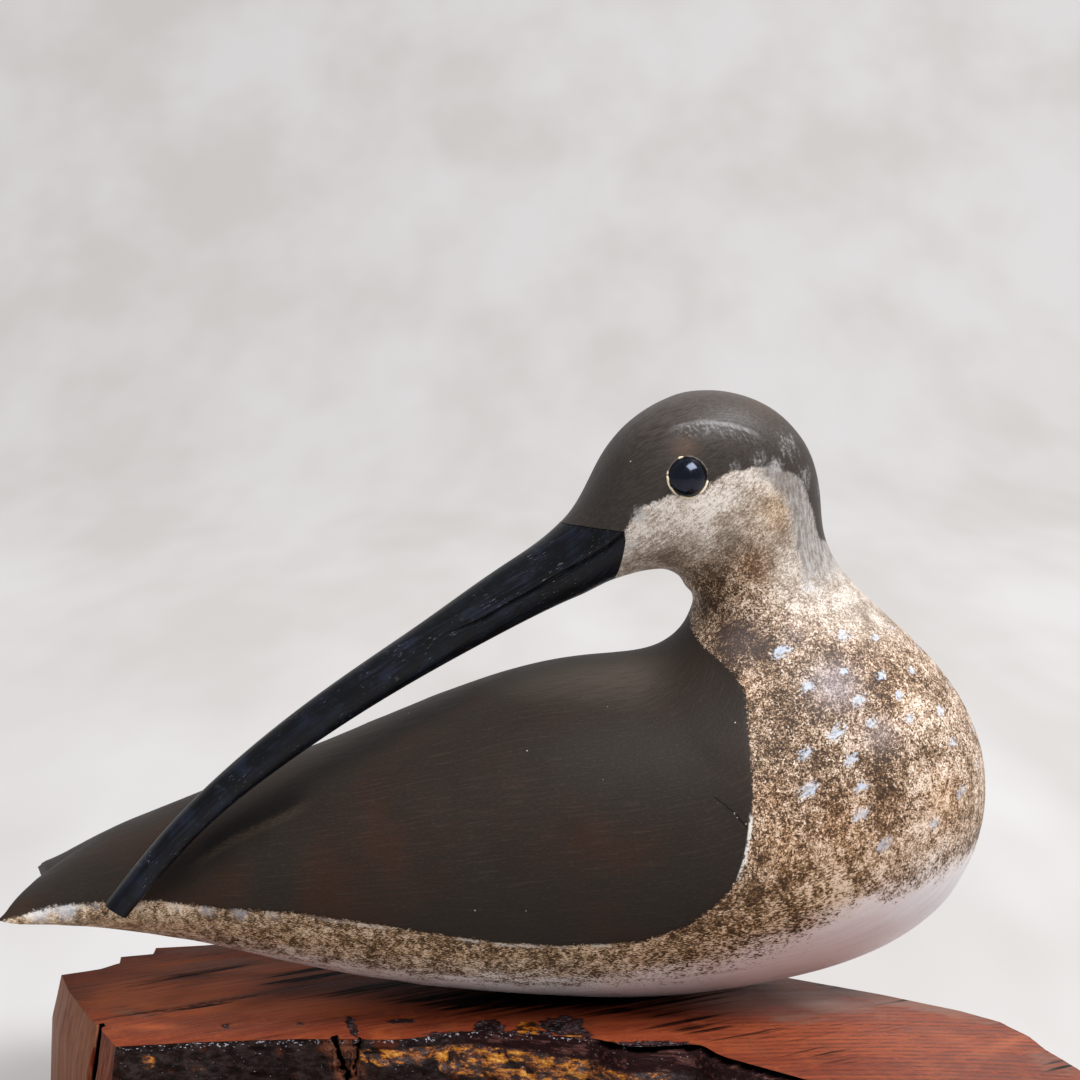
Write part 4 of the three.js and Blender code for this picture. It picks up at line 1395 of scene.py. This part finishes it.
# where the strip of amber resin lies: places along the bark, and its upper and lower edge under the top
AMBER_ALONG = (-28.6, -14.0, -9.5, 4.5, 17.8, 29.3)
AMBER_TOP = (2.1, 2.4, 2.6, 3.7, 4.7, 5.8)
AMBER_LOW = (4.2, 4.4, 8.5, 11.0, 12.0, 12.0)
AMBER_REACH = ((-32, -28), (36, 46))  # over which x it starts and stops
AMBER_KNOTS = (((-79.1, 3.8), (1.7, 1.4), 1.0), ((-68, 6), (4.5, 2.0), 0.3))  # x and depth, size, amount
INNER_BARK_REACH = ((-12, -4), (70, 78))
PLATES_LEAN = -0.11  # the plates of bark fall by this share towards the right
CRACK_TOP_X = -36.4
CRACK_LEAN = 0.34
CRACK_DEPTH = 2.4
SIDE_CRACK_OFF = 5.6
SIDE_CRACK_LOW = 9
GAP_STARTS = (21, 27)
GAP_DEPTH = 2.6


def side_columns():
    """Places along the outline, their way out, and whether each is on bark."""
    corners = np.array(SLAB_OUTLINE[::-1])
    along = np.roll(corners, -1, axis=0) - np.roll(corners, 1, axis=0)
    along /= np.linalg.norm(along, axis=1)[:, None]
    outward = np.stack([along[:, 1], -along[:, 0]], -1)
    first = SLAB_OUTLINE[::-1].index(BARK_FROM)
    last = SLAB_OUTLINE[::-1].index(BARK_TO)
    place, way, bark = [], [], []
    for i in range(len(corners)):
        j = (i + 1) % len(corners)
        on_bark = first <= i < last
        by_slot = np.linalg.norm((corners[i] + corners[j]) / 2 - SLOT_PLACE) < SLOT_FINE_REACH
        length = np.linalg.norm(corners[j] - corners[i])
        count = max(1, round(length / (BARK_STEP if on_bark or by_slot else SAWN_STEP)))
        for k in range(count):
            share = k / count
            place.append(corners[i] + share * (corners[j] - corners[i]))
            way.append(outward[i] + share * (outward[j] - outward[i]))
            bark.append(on_bark)
    place, way, bark = np.array(place), np.array(way), np.array(bark, float)
    inside = np.flatnonzero(bark)[CORNER_ROUNDING:-CORNER_ROUNDING]
    reach = range(-CORNER_ROUNDING, CORNER_ROUNDING + 1)
    for rounded in (place, way):
        rounded[inside] = np.mean([rounded[inside + k] for k in reach], axis=0)
    return place, way, bark


def rough(points, size, stretch=(1.0, 1.0, 1.0), octaves=4, seed=0.0):
    """Fractal noise from about -1 to 1 for an array of points."""
    scaled_points = points / (size * np.array(stretch)) + seed
    return np.array([fractal(Vector(p), 0.9, 2.1, octaves) for p in scaled_points])


def ridge(off, half_width):
    return np.exp(-((off / half_width) ** 2))


def within(x, starts, stops):
    """1 between two soft ends and 0 outside them."""
    return smoothstep(x, *starts) * (1 - smoothstep(x, *stops))


def bark_relief(x, depth, bark, points):
    """How far a point of a side stands out, and the fields that its colour needs."""
    along_plates = points.copy()
    along_plates[:, 2] -= PLATES_LEAN * x
    plates = rough(along_plates, 3.2, (3.2, 1.0, 0.8), 4, 3.7)
    lumps = rough(points, 2.2, (1.5, 1.0, 1.0), 3, 9.1)

    inner_low = np.interp(x, AMBER_ALONG, AMBER_TOP) + 0.3 * lumps - 0.2
    inner = within(x, *INNER_BARK_REACH) * (1 - smoothstep(depth, inner_low, inner_low + 0.6))
    amber_low = np.interp(x, AMBER_ALONG, AMBER_LOW) + 1.2 * plates
    amber = within(x, *AMBER_REACH) * smoothstep(depth, inner_low, inner_low + 0.5)
    amber *= 1 - smoothstep(depth, amber_low, amber_low + 1.2)
    amber *= smoothstep(0.55 * lumps + 0.45 * plates, -0.42, -0.18)
    for (knot_x, knot_depth), (long, high), amount in AMBER_KNOTS:
        amber += amount * ridge(x - knot_x, long) * ridge(depth - knot_depth, high)

    crack_x = CRACK_TOP_X + CRACK_LEAN * depth + 1.1 * lumps + 0.5 * plates
    crack = ridge(x - crack_x, 0.55)
    side_crack_x = crack_x + SIDE_CRACK_OFF - 0.5 * depth
    crack += 0.8 * ridge(x - side_crack_x, 0.45) * (depth < SIDE_CRACK_LOW)
    crack *= 1 - 0.8 * smoothstep(depth, 14, 24)
    gap_low = 1.2 + 0.5 * lumps
    gap = smoothstep(x, *GAP_STARTS) * (0.75 + 0.25 * lumps)
    gap *= smoothstep(depth, 0.05, 0.35) * (1 - smoothstep(depth, gap_low, gap_low + 0.7))

    stands = 0.75 * plates + 0.45 * lumps
    stands = stands * (1 - 0.75 * inner) + 0.7 * amber * np.abs(plates)
    stands += 0.8 * smoothstep(x, 24, 30) * smoothstep(depth, 1.4, 2.2) * (1 - smoothstep(depth, 7, 12))
    stands *= smoothstep(depth, -0.2, 1.2)
    out = bark * (stands - CRACK_DEPTH * np.clip(crack, 0, 1) - GAP_DEPTH * gap)
    sawn = 0.12 * rough(points, 4.0, (1.0, 1.0, 6.0), 3, 5.3) * (1 - bark)
    return out + sawn, bark * inner, bark * amber, np.clip(bark * (gap + crack), 0, 1)


def slab_sides():
    """The points of the sides, level by level from the top, with the fields of each."""
    place, way, bark = side_columns()
    blocks = []
    for level in range(SIDE_LEVELS + 1):
        depth = SLAB_THICKNESS * (level / SIDE_LEVELS) ** LEVELS_CROWDING
        flare = SLAB_FLARE * np.interp(depth / SLAB_THICKNESS, *SLAB_LEAN)
        resting = np.column_stack([place + way * flare, np.full(len(place), -depth)])
        out, inner, amber, gap = bark_relief(place[:, 0], depth, bark, resting)
        slot_here = np.array(SLOT_PLACE) + np.array(SLOT_TRAVEL) * level / SIDE_LEVELS
        slot = ridge(np.hypot(*(place - slot_here).T), SLOT_HALF_WIDTH)
        gap = np.maximum(gap, slot * 1.3)
        slotted = place + way * (flare + out)[:, None] + slot[:, None] * np.array(SLOT_DEPTH)
        points = np.column_stack([slotted, resting[:, 2]])
        blocks.append((points, bark, inner, amber, gap))
    return [np.concatenate(parts) for parts in zip(*blocks)], len(place)


def filled(loop, inside):
    """Triangles over a closed loop of points with points inside it."""
    count = len(loop)
    flat = [Vector(p) for p in np.concatenate([loop, inside])]
    corners, _, faces, source, _, _ = delaunay_2d_cdt(flat, [], [list(range(count))], 1, 1e-7)
    number = [names[0] for names in source]
    return [tuple(number[corner] for corner in face) for face in faces]


def top_points(loop):
    """Points over the top face, closer together along the bark."""
    outline = [tuple(p) for p in loop[::4]]
    chosen = []
    for step, nearest, farthest in ((TOP_FINE_STEP, 0.6, TOP_FINE_BAND), (TOP_STEP, TOP_FINE_BAND, 999.0)):
        low, high = loop.min(axis=0), loop.max(axis=0)
        x, y = np.meshgrid(np.arange(low[0], high[0], step), np.arange(low[1], high[1], step * 0.87))
        x[1::2] += step / 2
        inside = outline_distance(outline, x.ravel(), y.ravel())
        held = (inside > nearest) & (inside <= farthest)
        chosen.append(np.column_stack([x.ravel(), y.ravel()])[held])
    return np.concatenate(chosen)


# place on the top face, reach along and across, lean in degrees
TOP_SPOTS = {
    # black: stains along the grain, and a painted shadow under the bird
    "heart": [
        ((12, -13), (34, 8.0), 3, 1.25), ((46, -27), (12, 5), -10, 0.5), ((50, -36), (12, 6), -10, 0.5),
        ((64, -38), (10, 7), -10, 0.34), ((78, -53), (9, 7), -20, 0.34), ((129, -60), (4, 12), 0, 0.4),
        ((84, -3), (22, 2.2), -33, 0.35), ((-84, -24), (10, 4), -30, 0.4), ((-68, -37), (13, 4), 0, 0.3),
        ((26, -21), (26, 4.5), -8, 0.5), ((-24, -3), (24, 6.5), 27, 0.65),
        ((-71.7, 9), (24, 2.0), 31.6, 0.7), ((-60, -10.5), (38, 1.5), 30, 0.75),
        ((-48, 2), (24, 2.0), 30, 0.9), ((-38, 15), (24, 3), 30, 0.8), ((-80, -22.5), (18, 1.4), 20, 0.75),
    ],
    "glow": [
        ((-68, -6), (22, 5.5), 34, 1.5), ((-84, -26), (14, 4.5), 30, 0.5), ((-60, 6), (20, 2.5), 31, 1.0),
        ((82, -42), (42, 13), -8, 0.7), ((38, -33), (26, 6), -4, 0.4), ((-96, -14), (8, 5), 40, 0.6),
    ],
    # painted light where the bird shades the top, and a few pale veins at the right end
    "lit": [
        ((-86, -6), (14, 11), 0, 1.0), ((-68, -13), (11, 9), 0, 1.0), ((-68, 12), (26, 7), 0, 0.7),
        ((68, -8), (10, 7), 0, 0.8), ((-44, -17), (16, 6), 10, 0.85), ((-68, -3), (13, 6), 25, 0.95),
        ((108, -42), (11, 2.5), -57, 0.12), ((118.8, -47), (9, 2.2), 41, 0.2),
        ((111, -26), (4, 1.8), -70, 0.15),
    ],
    "greyed": [
        ((-60, 33), (34, 5), 18, 0.9), ((-68, 14), (26, 6), 18, 0.8), ((-86, -24), (8, 3.5), -30, 0.8),
        ((72, -27), (13, 6), -10, 0.6), ((98, -14), (28, 5), -33, 1.1), ((127, -58), (5, 12), 0, 0.6),
        ((70, -10), (30, 10), -30, 0.95), ((131, -62), (8, 12), 0, 0.5), ((118, -31), (3, 1.5), 0, 0.8),
        ((10, 20), (60, 16), 0, 0.8),
    ],
    "clean": [
        ((-66, -8), (11, 2.6), 30, 1.0), ((-95, -12), (3, 8), 0, 0.6), ((-80, -34), (5, 2), 0, 0.6),
        ((-36, -21), (14, 4), 5, 0.7),
    ],
    # painted light on the top beside the bird's breast, where the bird shades it
    "pale": [((56, -10), (15, 9), -20, 0.85), ((74, -13), (12, 6), -20, 0.6)],
    "dull": [((-72, -34), (30, 9), 0, 0.5)],
    "pit": [
        ((-0.5, -35), (3.2, 6), 0, 1.2), ((-7, -39.5), (8, 2.0), -8, 0.9), ((17, -32), (4.6, 6), 0, 1.2),
        ((20.5, -39.5), (3.0, 4.0), 0, 1.0), ((8, -39), (7, 3), 0, 0.9), ((-33, -33), (0.9, 8), 12, 1.0),
        ((36, -46.0), (10, 2.4), 3, 1.0), ((-63.1, -32.8), (1.0, 1.6), 0, 1.1),
        ((-45.5, -30.6), (0.6, 2.0), 0, 0.9), ((-21, -29), (4, 1.6), 10, 0.8),
        ((94, -38.5), (0.7, 0.9), 0, 1.0),
    ],
    "resin": [((8.8, -35), (3.2, 6.0), 0, 1.2), ((19.3, -39.5), (2.0, 2.6), 0, 1.5)],
}


def spot_field(points, spots):
    """Soft leaning ovals on the top face, the strongest at each point."""
    field = np.zeros(len(points))
    for (x, y), (long, wide), lean, amount in spots:
        angle = math.radians(lean)
        away_x = points[:, 0] - x
        away_y = points[:, 1] - y
        along = (away_x * math.cos(angle) + away_y * math.sin(angle)) / long
        across = (away_y * math.cos(angle) - away_x * math.sin(angle)) / wide
        field = np.maximum(field, amount * np.exp(-along**2 - across**2))
    return field


(side_points, bark_field, inner_field, amber_field, gap_field), columns = slab_sides()
top_loop = side_points[:columns, :2]
top_inside = top_points(top_loop)
slab_points = np.concatenate([side_points, np.column_stack([top_inside, np.zeros(len(top_inside))])])
slab_faces = []
for level in range(SIDE_LEVELS):
    for column in range(columns):
        here = level * columns + column
        beside = level * columns + (column + 1) % columns
        slab_faces.append((here, here + columns, beside + columns, beside))
last_level = SIDE_LEVELS * columns
for face in filled(top_loop, top_inside):
    slab_faces.append(tuple(i if i < columns else i - columns + len(side_points) for i in face))
bottom_loop = side_points[last_level:, :2]
for face in filled(bottom_loop, np.empty((0, 2))):
    slab_faces.append(tuple(last_level + i for i in reversed(face)))

on_top = slab_points[:, 2] > -1e-6
spots = {name: spot_field(slab_points, rows) * on_top for name, rows in TOP_SPOTS.items()}
ragged_pits = 0.5 + 0.8 * rough(slab_points, 1.6, octaves=3)
spots["pit"] = smoothstep(spots["pit"], 0.35 * ragged_pits, 0.35 * ragged_pits + 0.3)
interior = np.arange(len(slab_points)) >= len(side_points)
slab_points[:, 2] -= np.where(interior, PIT_DEPTH * spots["pit"], 0.0)
slab = new_object("slab", slab_points, slab_faces)
facing_out(slab)
slab.data.shade_smooth()
slab.data.set_sharp_from_angle(angle=math.radians(SLAB_SHARP_DEG))
no_bark = np.zeros(len(top_inside))
flaky = bark_field * (1 - inner_field) * (1 - gap_field) * smoothstep(-side_points[:, 2], 0.8, 2.5)
for name, values in (("bark", bark_field), ("inner", inner_field), ("amber", amber_field),
                     ("gap", gap_field), ("flaky", flaky)):
    give_field(slab, name, np.concatenate([values, no_bark]))
for name, values in spots.items():
    give_field(slab, name, values)
give_field(slab, "side", np.where(on_top, 0.0, 1.0))
by_corner = (slab_points[:, 1] < SLOT_PLACE[1]) & (slab_points[:, 0] < SLOT_PLACE[0] + STRIP_WIDTH)
give_field(slab, "strip", np.where(by_corner, 1.0, 0.0))
print("slab:", len(slab.data.vertices), "points, volume in cm3", round(volume_of(slab) * 1e6, 1))

# %% [markdown]
# ## Wood, bark and resin
#
# The top has curved saw lines and long stains, a painted shadow black under the bird, painted light
# where the bird shades it, and a red glow in front. The same finish paints the bark: dark plates, a
# smooth strip of inner bark, amber resin, and black gaps painted as shade in their depth. It is
# varnished, so it shines where it is seen at a low angle.

# %% Finish of the slab
GRAIN_CENTRE = (87.0, -309.0)  # the saw lines are arcs about this place of the drawing
STAIN_LEAN = 29.0
SAW_PITCH = 2.6
DEEP_RED = shade(96, 36, 18)
RED_WOOD = shade(136, 62, 36)
GLOW_ORANGE = shade(154, 76, 40)
GREY_WOOD = shade(116, 84, 70)
LIGHT_AND_VEIN_WOOD = shade(228, 130, 80)
PAINTED_LIGHT_PALE = shade(206, 166, 154)
DULL_WOOD = shade(100, 56, 44)
CLEAN_ORANGE = shade(206, 108, 56)
BLACK_STAIN_AND_SHADOW = shade(12, 4, 3)
SAW_BROWN = shade(74, 34, 22)
DIRT_BROWN = shade(86, 44, 32)
SPECK_DARK = shade(62, 26, 18)
PALE_FIBRE = shade(176, 112, 76)
SAWN_END = shade(122, 73, 50)
SAWN_PALE = shade(154, 102, 76)
STRIP_RED = shade(136, 78, 54)
BARK_GREY = shade(46, 36, 34)
BARK_BLACK = shade(25, 18, 17)
BARK_RED = shade(80, 38, 22)
SPLINTER_RED = shade(96, 56, 40)
INNER_BARK = shade(36, 20, 20)
INNER_BARK_PALE = shade(96, 62, 56)
AMBER = shade(150, 84, 18)
AMBER_DARK = shade(78, 36, 14)
AMBER_BLACK = shade(36, 18, 11)
AMBER_GOLD = shade(184, 118, 26)
AMBER_PALE = shade(206, 152, 64)
PIT_BLACK = shade(20, 11, 11)
PIT_BROWN = shade(58, 36, 36)
GLINT = shade(176, 172, 180)
GAP_SHADE_BLACK = shade(5, 3, 3)


def slab_finish():
    wood = Finish("slab_wood")
    field = wood.field
    centre = placed((*GRAIN_CENTRE, 0.0)) / MM
    away = wood.moved(wood.where, -centre[0], -centre[1], 0.0)
    radius = wood.length(wood.scaled(away, 1.0, 1.0, 0.0))
    rings = wood.noise(1.9, 3.0, 0.6, wood.joined(radius, wood.axis("X") * 0.035, wood.axis("Z") * 0.04))
    saw_turn = radius * (2 * math.pi / SAW_PITCH) + wood.centred(wood.noise(30.0, 2.0), 10.0)
    saw_turn = saw_turn + wood.centred(wood.noise(2.0, 2.0), 1.6)
    saw_lines = wood.between(wood.calc("SINE", saw_turn), 0.0, 0.9)
    saw_lines = saw_lines * wood.between(wood.noise(4.0, 3.0, 0.7), 0.34, 0.60)
    saw_lines = saw_lines * wood.between(wood.axis("X"), 25.0, 60.0, 0.1, 1.0)
    stains = wood.streaks(2.2, 3.0, 0.6, (0.045, 1.0, 0.2), (0.0, 0.0, -STAIN_LEAN))
    fibres = wood.streaks(0.5, 3.0, 0.7, (0.05, 1.0, 1.0), (0.0, 0.0, -STAIN_LEAN))
    blots = wood.noise(7.0, 3.0, 0.6)

    # the sawn top, in layers from the bare wood up
    top = wood.blend(wood.between(rings, 0.30, 0.70, 0.15, 0.95), DEEP_RED, RED_WOOD)
    top = wood.blend(wood.between(blots, 0.48, 0.66, 0.0, 0.55), top, GLOW_ORANGE)
    glow = wood.between(field("glow") + wood.centred(stains, 1.2), 0.1, 0.75)
    top = wood.blend(glow * 0.75, top, wood.blend(wood.between(rings, 0.3, 0.7), RED_WOOD, GLOW_ORANGE))
    dirt = wood.noise(14.0, 4.0, 0.65)
    specks = wood.noise(0.6, 3.0, 0.8)
    # painted light where the bird shades the top, and pale veins
    lit = field("lit") * wood.between(rings, 0.3, 0.6, 0.5, 0.95)
    grey = wood.between(field("greyed") + wood.centred(stains, 1.2) + wood.centred(blots, 0.8), 0.25, 0.85)
    # black stains along the grain, and a painted shadow under the bird
    heart = field("heart") + wood.centred(stains, 2.2) + wood.centred(fibres, 0.8) - field("clean") * 0.9
    heart = wood.between(heart, 0.2, 0.72)
    leftwards = wood.between(wood.axis("X"), 30.0, -20.0, 0.12, 1.0)
    for share, colour in (
            (saw_lines * 0.8, SAW_BROWN),
            (wood.between(dirt, 0.50, 0.68, 0.0, 0.5), DIRT_BROWN),
            (wood.between(specks, 0.56, 0.74, 0.0, 0.5), GLOW_ORANGE),
            (wood.between(specks, 0.46, 0.28, 0.0, 0.75), SPECK_DARK),
            (lit, LIGHT_AND_VEIN_WOOD),
            (grey * 0.8, GREY_WOOD),
            # painted light beside the breast, where the bird shades the top
            (field("pale"), PAINTED_LIGHT_PALE),
            (field("dull"), DULL_WOOD),
            (field("clean") * 0.6, CLEAN_ORANGE),
            (heart, BLACK_STAIN_AND_SHADOW),
            (wood.between(fibres, 0.52, 0.74, 0.0, 0.55) * leftwards, BLACK_STAIN_AND_SHADOW),
            (wood.between(fibres, 0.46, 0.28, 0.0, 0.35) * leftwards, PALE_FIBRE)):
        top = wood.blend(share, top, colour)

    # the sawn sides
    lines_down = wood.streaks(1.6, 3.0, 0.6, (1.0, 1.0, 0.05))
    sawn = wood.blend(wood.between(lines_down, 0.25, 0.75), SAWN_END, SAWN_PALE)
    sawn = wood.blend(wood.between(field("strip"), 0.4, 0.6), sawn,
                      wood.blend(wood.between(lines_down, 0.35, 0.65), DEEP_RED, STRIP_RED))
    side = wood.between(field("side"), 0.0, 1.0)
    colour = wood.blend(side, top, sawn)

    # the bark, with what shows under and beside it
    plates = wood.streaks(1.7, 5.0, 0.68, (0.5, 0.5, 1.0))
    bark = wood.blend(wood.between(plates, 0.40, 0.62), BARK_BLACK, BARK_GREY)
    bark = wood.blend(wood.between(blots, 0.55, 0.68, 0.0, 0.7), bark, BARK_RED)
    by_crack = wood.axis("X") + wood.axis("Z") * 0.34 + 35.0 + wood.centred(blots, 6.0)
    splinters = wood.streaks(0.9, 4.0, 0.75, (1.0, 1.0, 0.22))
    broken = wood.line(by_crack, 2.2, 2.6) * wood.between(splinters, 0.40, 0.56)
    bark = wood.blend(broken, bark, SPLINTER_RED)
    layers = wood.streaks(1.2, 3.0, 0.65, (0.10, 1.0, 1.0), (0.0, -6.2, 0.0))
    inner_bark = wood.blend(wood.between(layers, 0.5, 0.72), INNER_BARK, INNER_BARK_PALE)
    bark = wood.blend(field("inner"), bark, inner_bark)
    depth_of_resin = wood.streaks(1.3, 5.0, 0.75, (0.45, 0.6, 1.0)) + wood.centred(layers, 0.4)
    resin = wood.ramp(depth_of_resin, [(0.42, AMBER_BLACK), (0.49, AMBER_DARK), (0.55, AMBER),
                                       (0.62, AMBER_GOLD), (0.72, AMBER_PALE)])
    bark = wood.blend(wood.between(field("amber"), 0.2, 0.6), bark, resin)
    on_bark = wood.between(field("bark"), 0.4, 0.9) * side
    colour = wood.blend(on_bark, colour, bark)

    # pits, resin, painted glints on the varnish, and black painted as shade in the gaps, over all of it
    pit_colour = wood.blend(wood.between(plates, 0.42, 0.6), PIT_BLACK, PIT_BROWN)
    pit = wood.between(field("pit"), 0.3, 0.7)
    colour = wood.blend(pit, colour, pit_colour)
    colour = wood.blend(wood.between(field("resin") + wood.centred(plates, 1.0), 0.5, 0.7), colour, resin)
    # painted glints of light along the top edge of the bark and on the pits
    glint_noise = wood.streaks(0.55, 2.0, 0.7, (0.6, 1.0, 1.0))
    near_top = wood.between(wood.axis("Z"), 30.0, 31.4, -0.02, 0.10)
    glints = wood.between(glint_noise + near_top, 0.68, 0.73)
    glints = glints * wood.calc("MAXIMUM", on_bark, pit * 0.35)
    colour = wood.blend(glints * 0.8, colour, GLINT)
    # black painted as shade deep in the gaps, the cracks and the slot
    gap = wood.between(field("gap"), 0.25, 0.6)
    colour = wood.blend(gap, colour, GAP_SHADE_BLACK)
    wood.set("Base Color", colour)

    # shine and relief
    rough_top = wood.between(rings, 0.3, 0.7, 0.34, 0.48)
    wood.set("Roughness", wood.mixed(on_bark, rough_top, wood.between(plates, 0.3, 0.7, 0.42, 0.22)))
    shine = (1.0 - gap) * wood.mixed(heart, 0.34, 0.12)
    shine = shine * wood.mixed(on_bark, 1.0, wood.between(plates, 0.50, 0.66, 0.2, 1.2))
    shine = shine * wood.between(wood.axis("X"), 10.0, 95.0, 0.06, 1.1)
    shine = shine + on_bark * field("amber") * 0.35
    wood.set("Specular IOR Level", shine)
    saw = rings * 0.10 * (1.0 - side)
    crust = plates * 0.7 * wood.calc("MAXIMUM", on_bark, pit)
    fine_crust = wood.noise(0.8, 3.0, 0.7) * 0.28 * on_bark
    wood.raise_by(saw + crust + lines_down * 0.08, fine_crust)
    return wood.material


slab_material = slab_finish()
slab.data.materials.append(slab_material)

# %% [markdown]
# Loose flakes lie on the bark. They are one small chip many times over, so Geometry Nodes scatter them:
# more of them where the bark is rough, each turned and sized a little differently from a fixed seed.

# %% Flakes of bark
FLAKE_SIZE = (1.5, 0.7, 0.28)
FLAKE_SHARES = (0.4, 1.2)
FLAKE_FACES = 20
FLAKES_PER_M2 = 26000.0
FLAKE_SEED = 11


def flake_tree(material):
    """Scatters small chips over a mesh by its field "flaky" and keeps the mesh."""
    flakes = Tree("bark_flakes", {"Wood": "Geometry", "Flake Size": "Vector", "Density": "Float",
                                  "Seed": "Int"}, "Wood")
    given = flakes.given
    flaky = flakes.node("GeometryNodeInputNamedAttribute", {"Name": "flaky"}, data_type="FLOAT")
    density = flakes.node("ShaderNodeMath", {0: flaky.outputs[0], 1: given["Density"]},
                          operation="MULTIPLY")
    scattered = flakes.node("GeometryNodeDistributePointsOnFaces", {
        "Mesh": given["Wood"], "Density": density.outputs[0], "Seed": given["Seed"]})
    chip = flakes.node("GeometryNodeMeshIcoSphere", {"Radius": 1.0, "Subdivisions": 1})
    share = flakes.node("FunctionNodeRandomValue", {2: FLAKE_SHARES[0], 3: FLAKE_SHARES[1],
                                                    "Seed": given["Seed"]}, data_type="FLOAT")
    sized = flakes.node("ShaderNodeVectorMath", {0: given["Flake Size"], "Scale": share.outputs[1]},
                        operation="SCALE")
    chips = flakes.node("GeometryNodeInstanceOnPoints", {
        "Points": scattered.outputs["Points"], "Instance": chip.outputs["Mesh"],
        "Rotation": scattered.outputs["Rotation"], "Scale": sized.outputs[0]})
    joined = flakes.node("GeometryNodeJoinGeometry", {0: given["Wood"]})
    flakes.tree.links.new(chips.outputs[0], joined.inputs[0])
    return flakes.finished(joined.outputs[0], material)


wood_faces = len(slab.data.polygons)
grow(slab, flake_tree(slab_material), {"Flake Size": tuple(size * MM for size in FLAKE_SIZE),
                                       "Density": FLAKES_PER_M2, "Seed": FLAKE_SEED})
print("flakes of bark:", (len(slab.data.polygons) - wood_faces) // FLAKE_FACES)

# %% [markdown]
# ## What stands for what
#
# Every modelled piece stands for one solid of the part, whose own solid is hidden, and rides on the
# only body there is.

# %% Pieces and solids
for made, node, slot in ((carving, "bird_carving", "painted_wood"), (bill, "bill", "bill_black"),
                         (eyes[0], "eye_near", "eye_glass"), (eyes[1], "eye_far", "eye_glass"),
                         (slab, "stand_slab", "slab_wood")):
    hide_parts(node)
    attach(made, "root")
for rim in rims:
    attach(rim, "root")

# %% [markdown]
# ## The stage
#
# The photograph has a plain pale backdrop, brighter towards the front of the floor. One sheet that
# runs back along the floor and curves up behind gives that without a line between floor and wall.

# %% Floor and backdrop
FLOOR_BACK = 1.2
CURVE_RADIUS = 1.2
CURVE_STEPS = 16
SHEET_HALF_WIDTH = 4.0
SHEET_FRONT = -3.0
SHEET_HEIGHT = 4.0
PAPER_GLOW = 0.61

profile = [(SHEET_FRONT, 0.0), (FLOOR_BACK, 0.0)]
for i in range(1, CURVE_STEPS + 1):
    angle = math.radians(90 * i / CURVE_STEPS)
    rise = CURVE_RADIUS * (1 - math.cos(angle))
    profile.append((FLOOR_BACK + CURVE_RADIUS * math.sin(angle), rise))
profile.append((FLOOR_BACK + CURVE_RADIUS, SHEET_HEIGHT))
sheet_points = [(x, y, z) for y, z in profile for x in (-SHEET_HALF_WIDTH, SHEET_HALF_WIDTH)]
sheet_faces = [(2 * i, 2 * i + 1, 2 * i + 3, 2 * i + 2) for i in range(len(profile) - 1)]
sheet_mesh = bpy.data.meshes.new("backdrop")
sheet_mesh.from_pydata(sheet_points, [], sheet_faces)
sheet_mesh.shade_smooth()
backdrop = bpy.data.objects.new("backdrop", sheet_mesh)
bpy.context.collection.objects.link(backdrop)
paper = Finish("backdrop_paper")
mottle = paper.between(paper.streaks(150.0, 3.0, 0.6, (1.0, 0.3, 1.0)), 0.32, 0.68)
paper.set("Base Color", paper.blend(mottle, shade(140, 136, 133), shade(156, 153, 151)))
paper.set("Roughness", 0.95)
paper.set("Specular IOR Level", 0.1)
paper.set("Emission Color", paper.blend(mottle, shade(217, 213, 210), shade(224, 222, 222)))
# the sheet glows to stand in for the light on it, dimmer in front and brighter to the right
near = paper.between(paper.axis("Y"), 900.0, 50.0, 0.0, -0.145)
rightwards = paper.between(paper.axis("X"), -500.0, 500.0, 0.0, 0.085)
paper.set("Emission Strength", PAPER_GLOW + near + rightwards)
backdrop.data.materials.append(paper.material)

# %% Lights
WINDOW_PLACE = (0.50, -0.35, 1.12)
WINDOW_AIM = (0.0, 0.0, 0.1)
WINDOW_SIZE = (0.85, 0.6)
WINDOW_WATTS = 24.6
WINDOW_COLOUR = (0.95, 0.97, 1.0)
ROOM_COLOUR = shade(240, 242, 248)
ROOM_STRENGTH = 0.45

world = bpy.data.worlds.new("room")
world.use_nodes = True
room = world.node_tree.nodes["Background"]
room.inputs["Color"].default_value = ROOM_COLOUR
room.inputs["Strength"].default_value = ROOM_STRENGTH
bpy.context.scene.world = world
bpy.context.scene.view_settings.view_transform = "Standard"


def soft_light(name, place, aim, size, power, colour):
    """A rectangular lamp of a size in metres, aimed at a point."""
    lamp = bpy.data.lights.new(name, "AREA")
    lamp.shape = "RECTANGLE"
    lamp.size, lamp.size_y = size
    lamp.energy = power
    lamp.color = colour
    made = bpy.data.objects.new(name, lamp)
    made.location = place
    made.rotation_euler = (Vector(aim) - Vector(place)).to_track_quat("-Z", "Y").to_euler()
    bpy.context.collection.objects.link(made)


soft_light("window", WINDOW_PLACE, WINDOW_AIM, WINDOW_SIZE, WINDOW_WATTS, WINDOW_COLOUR)
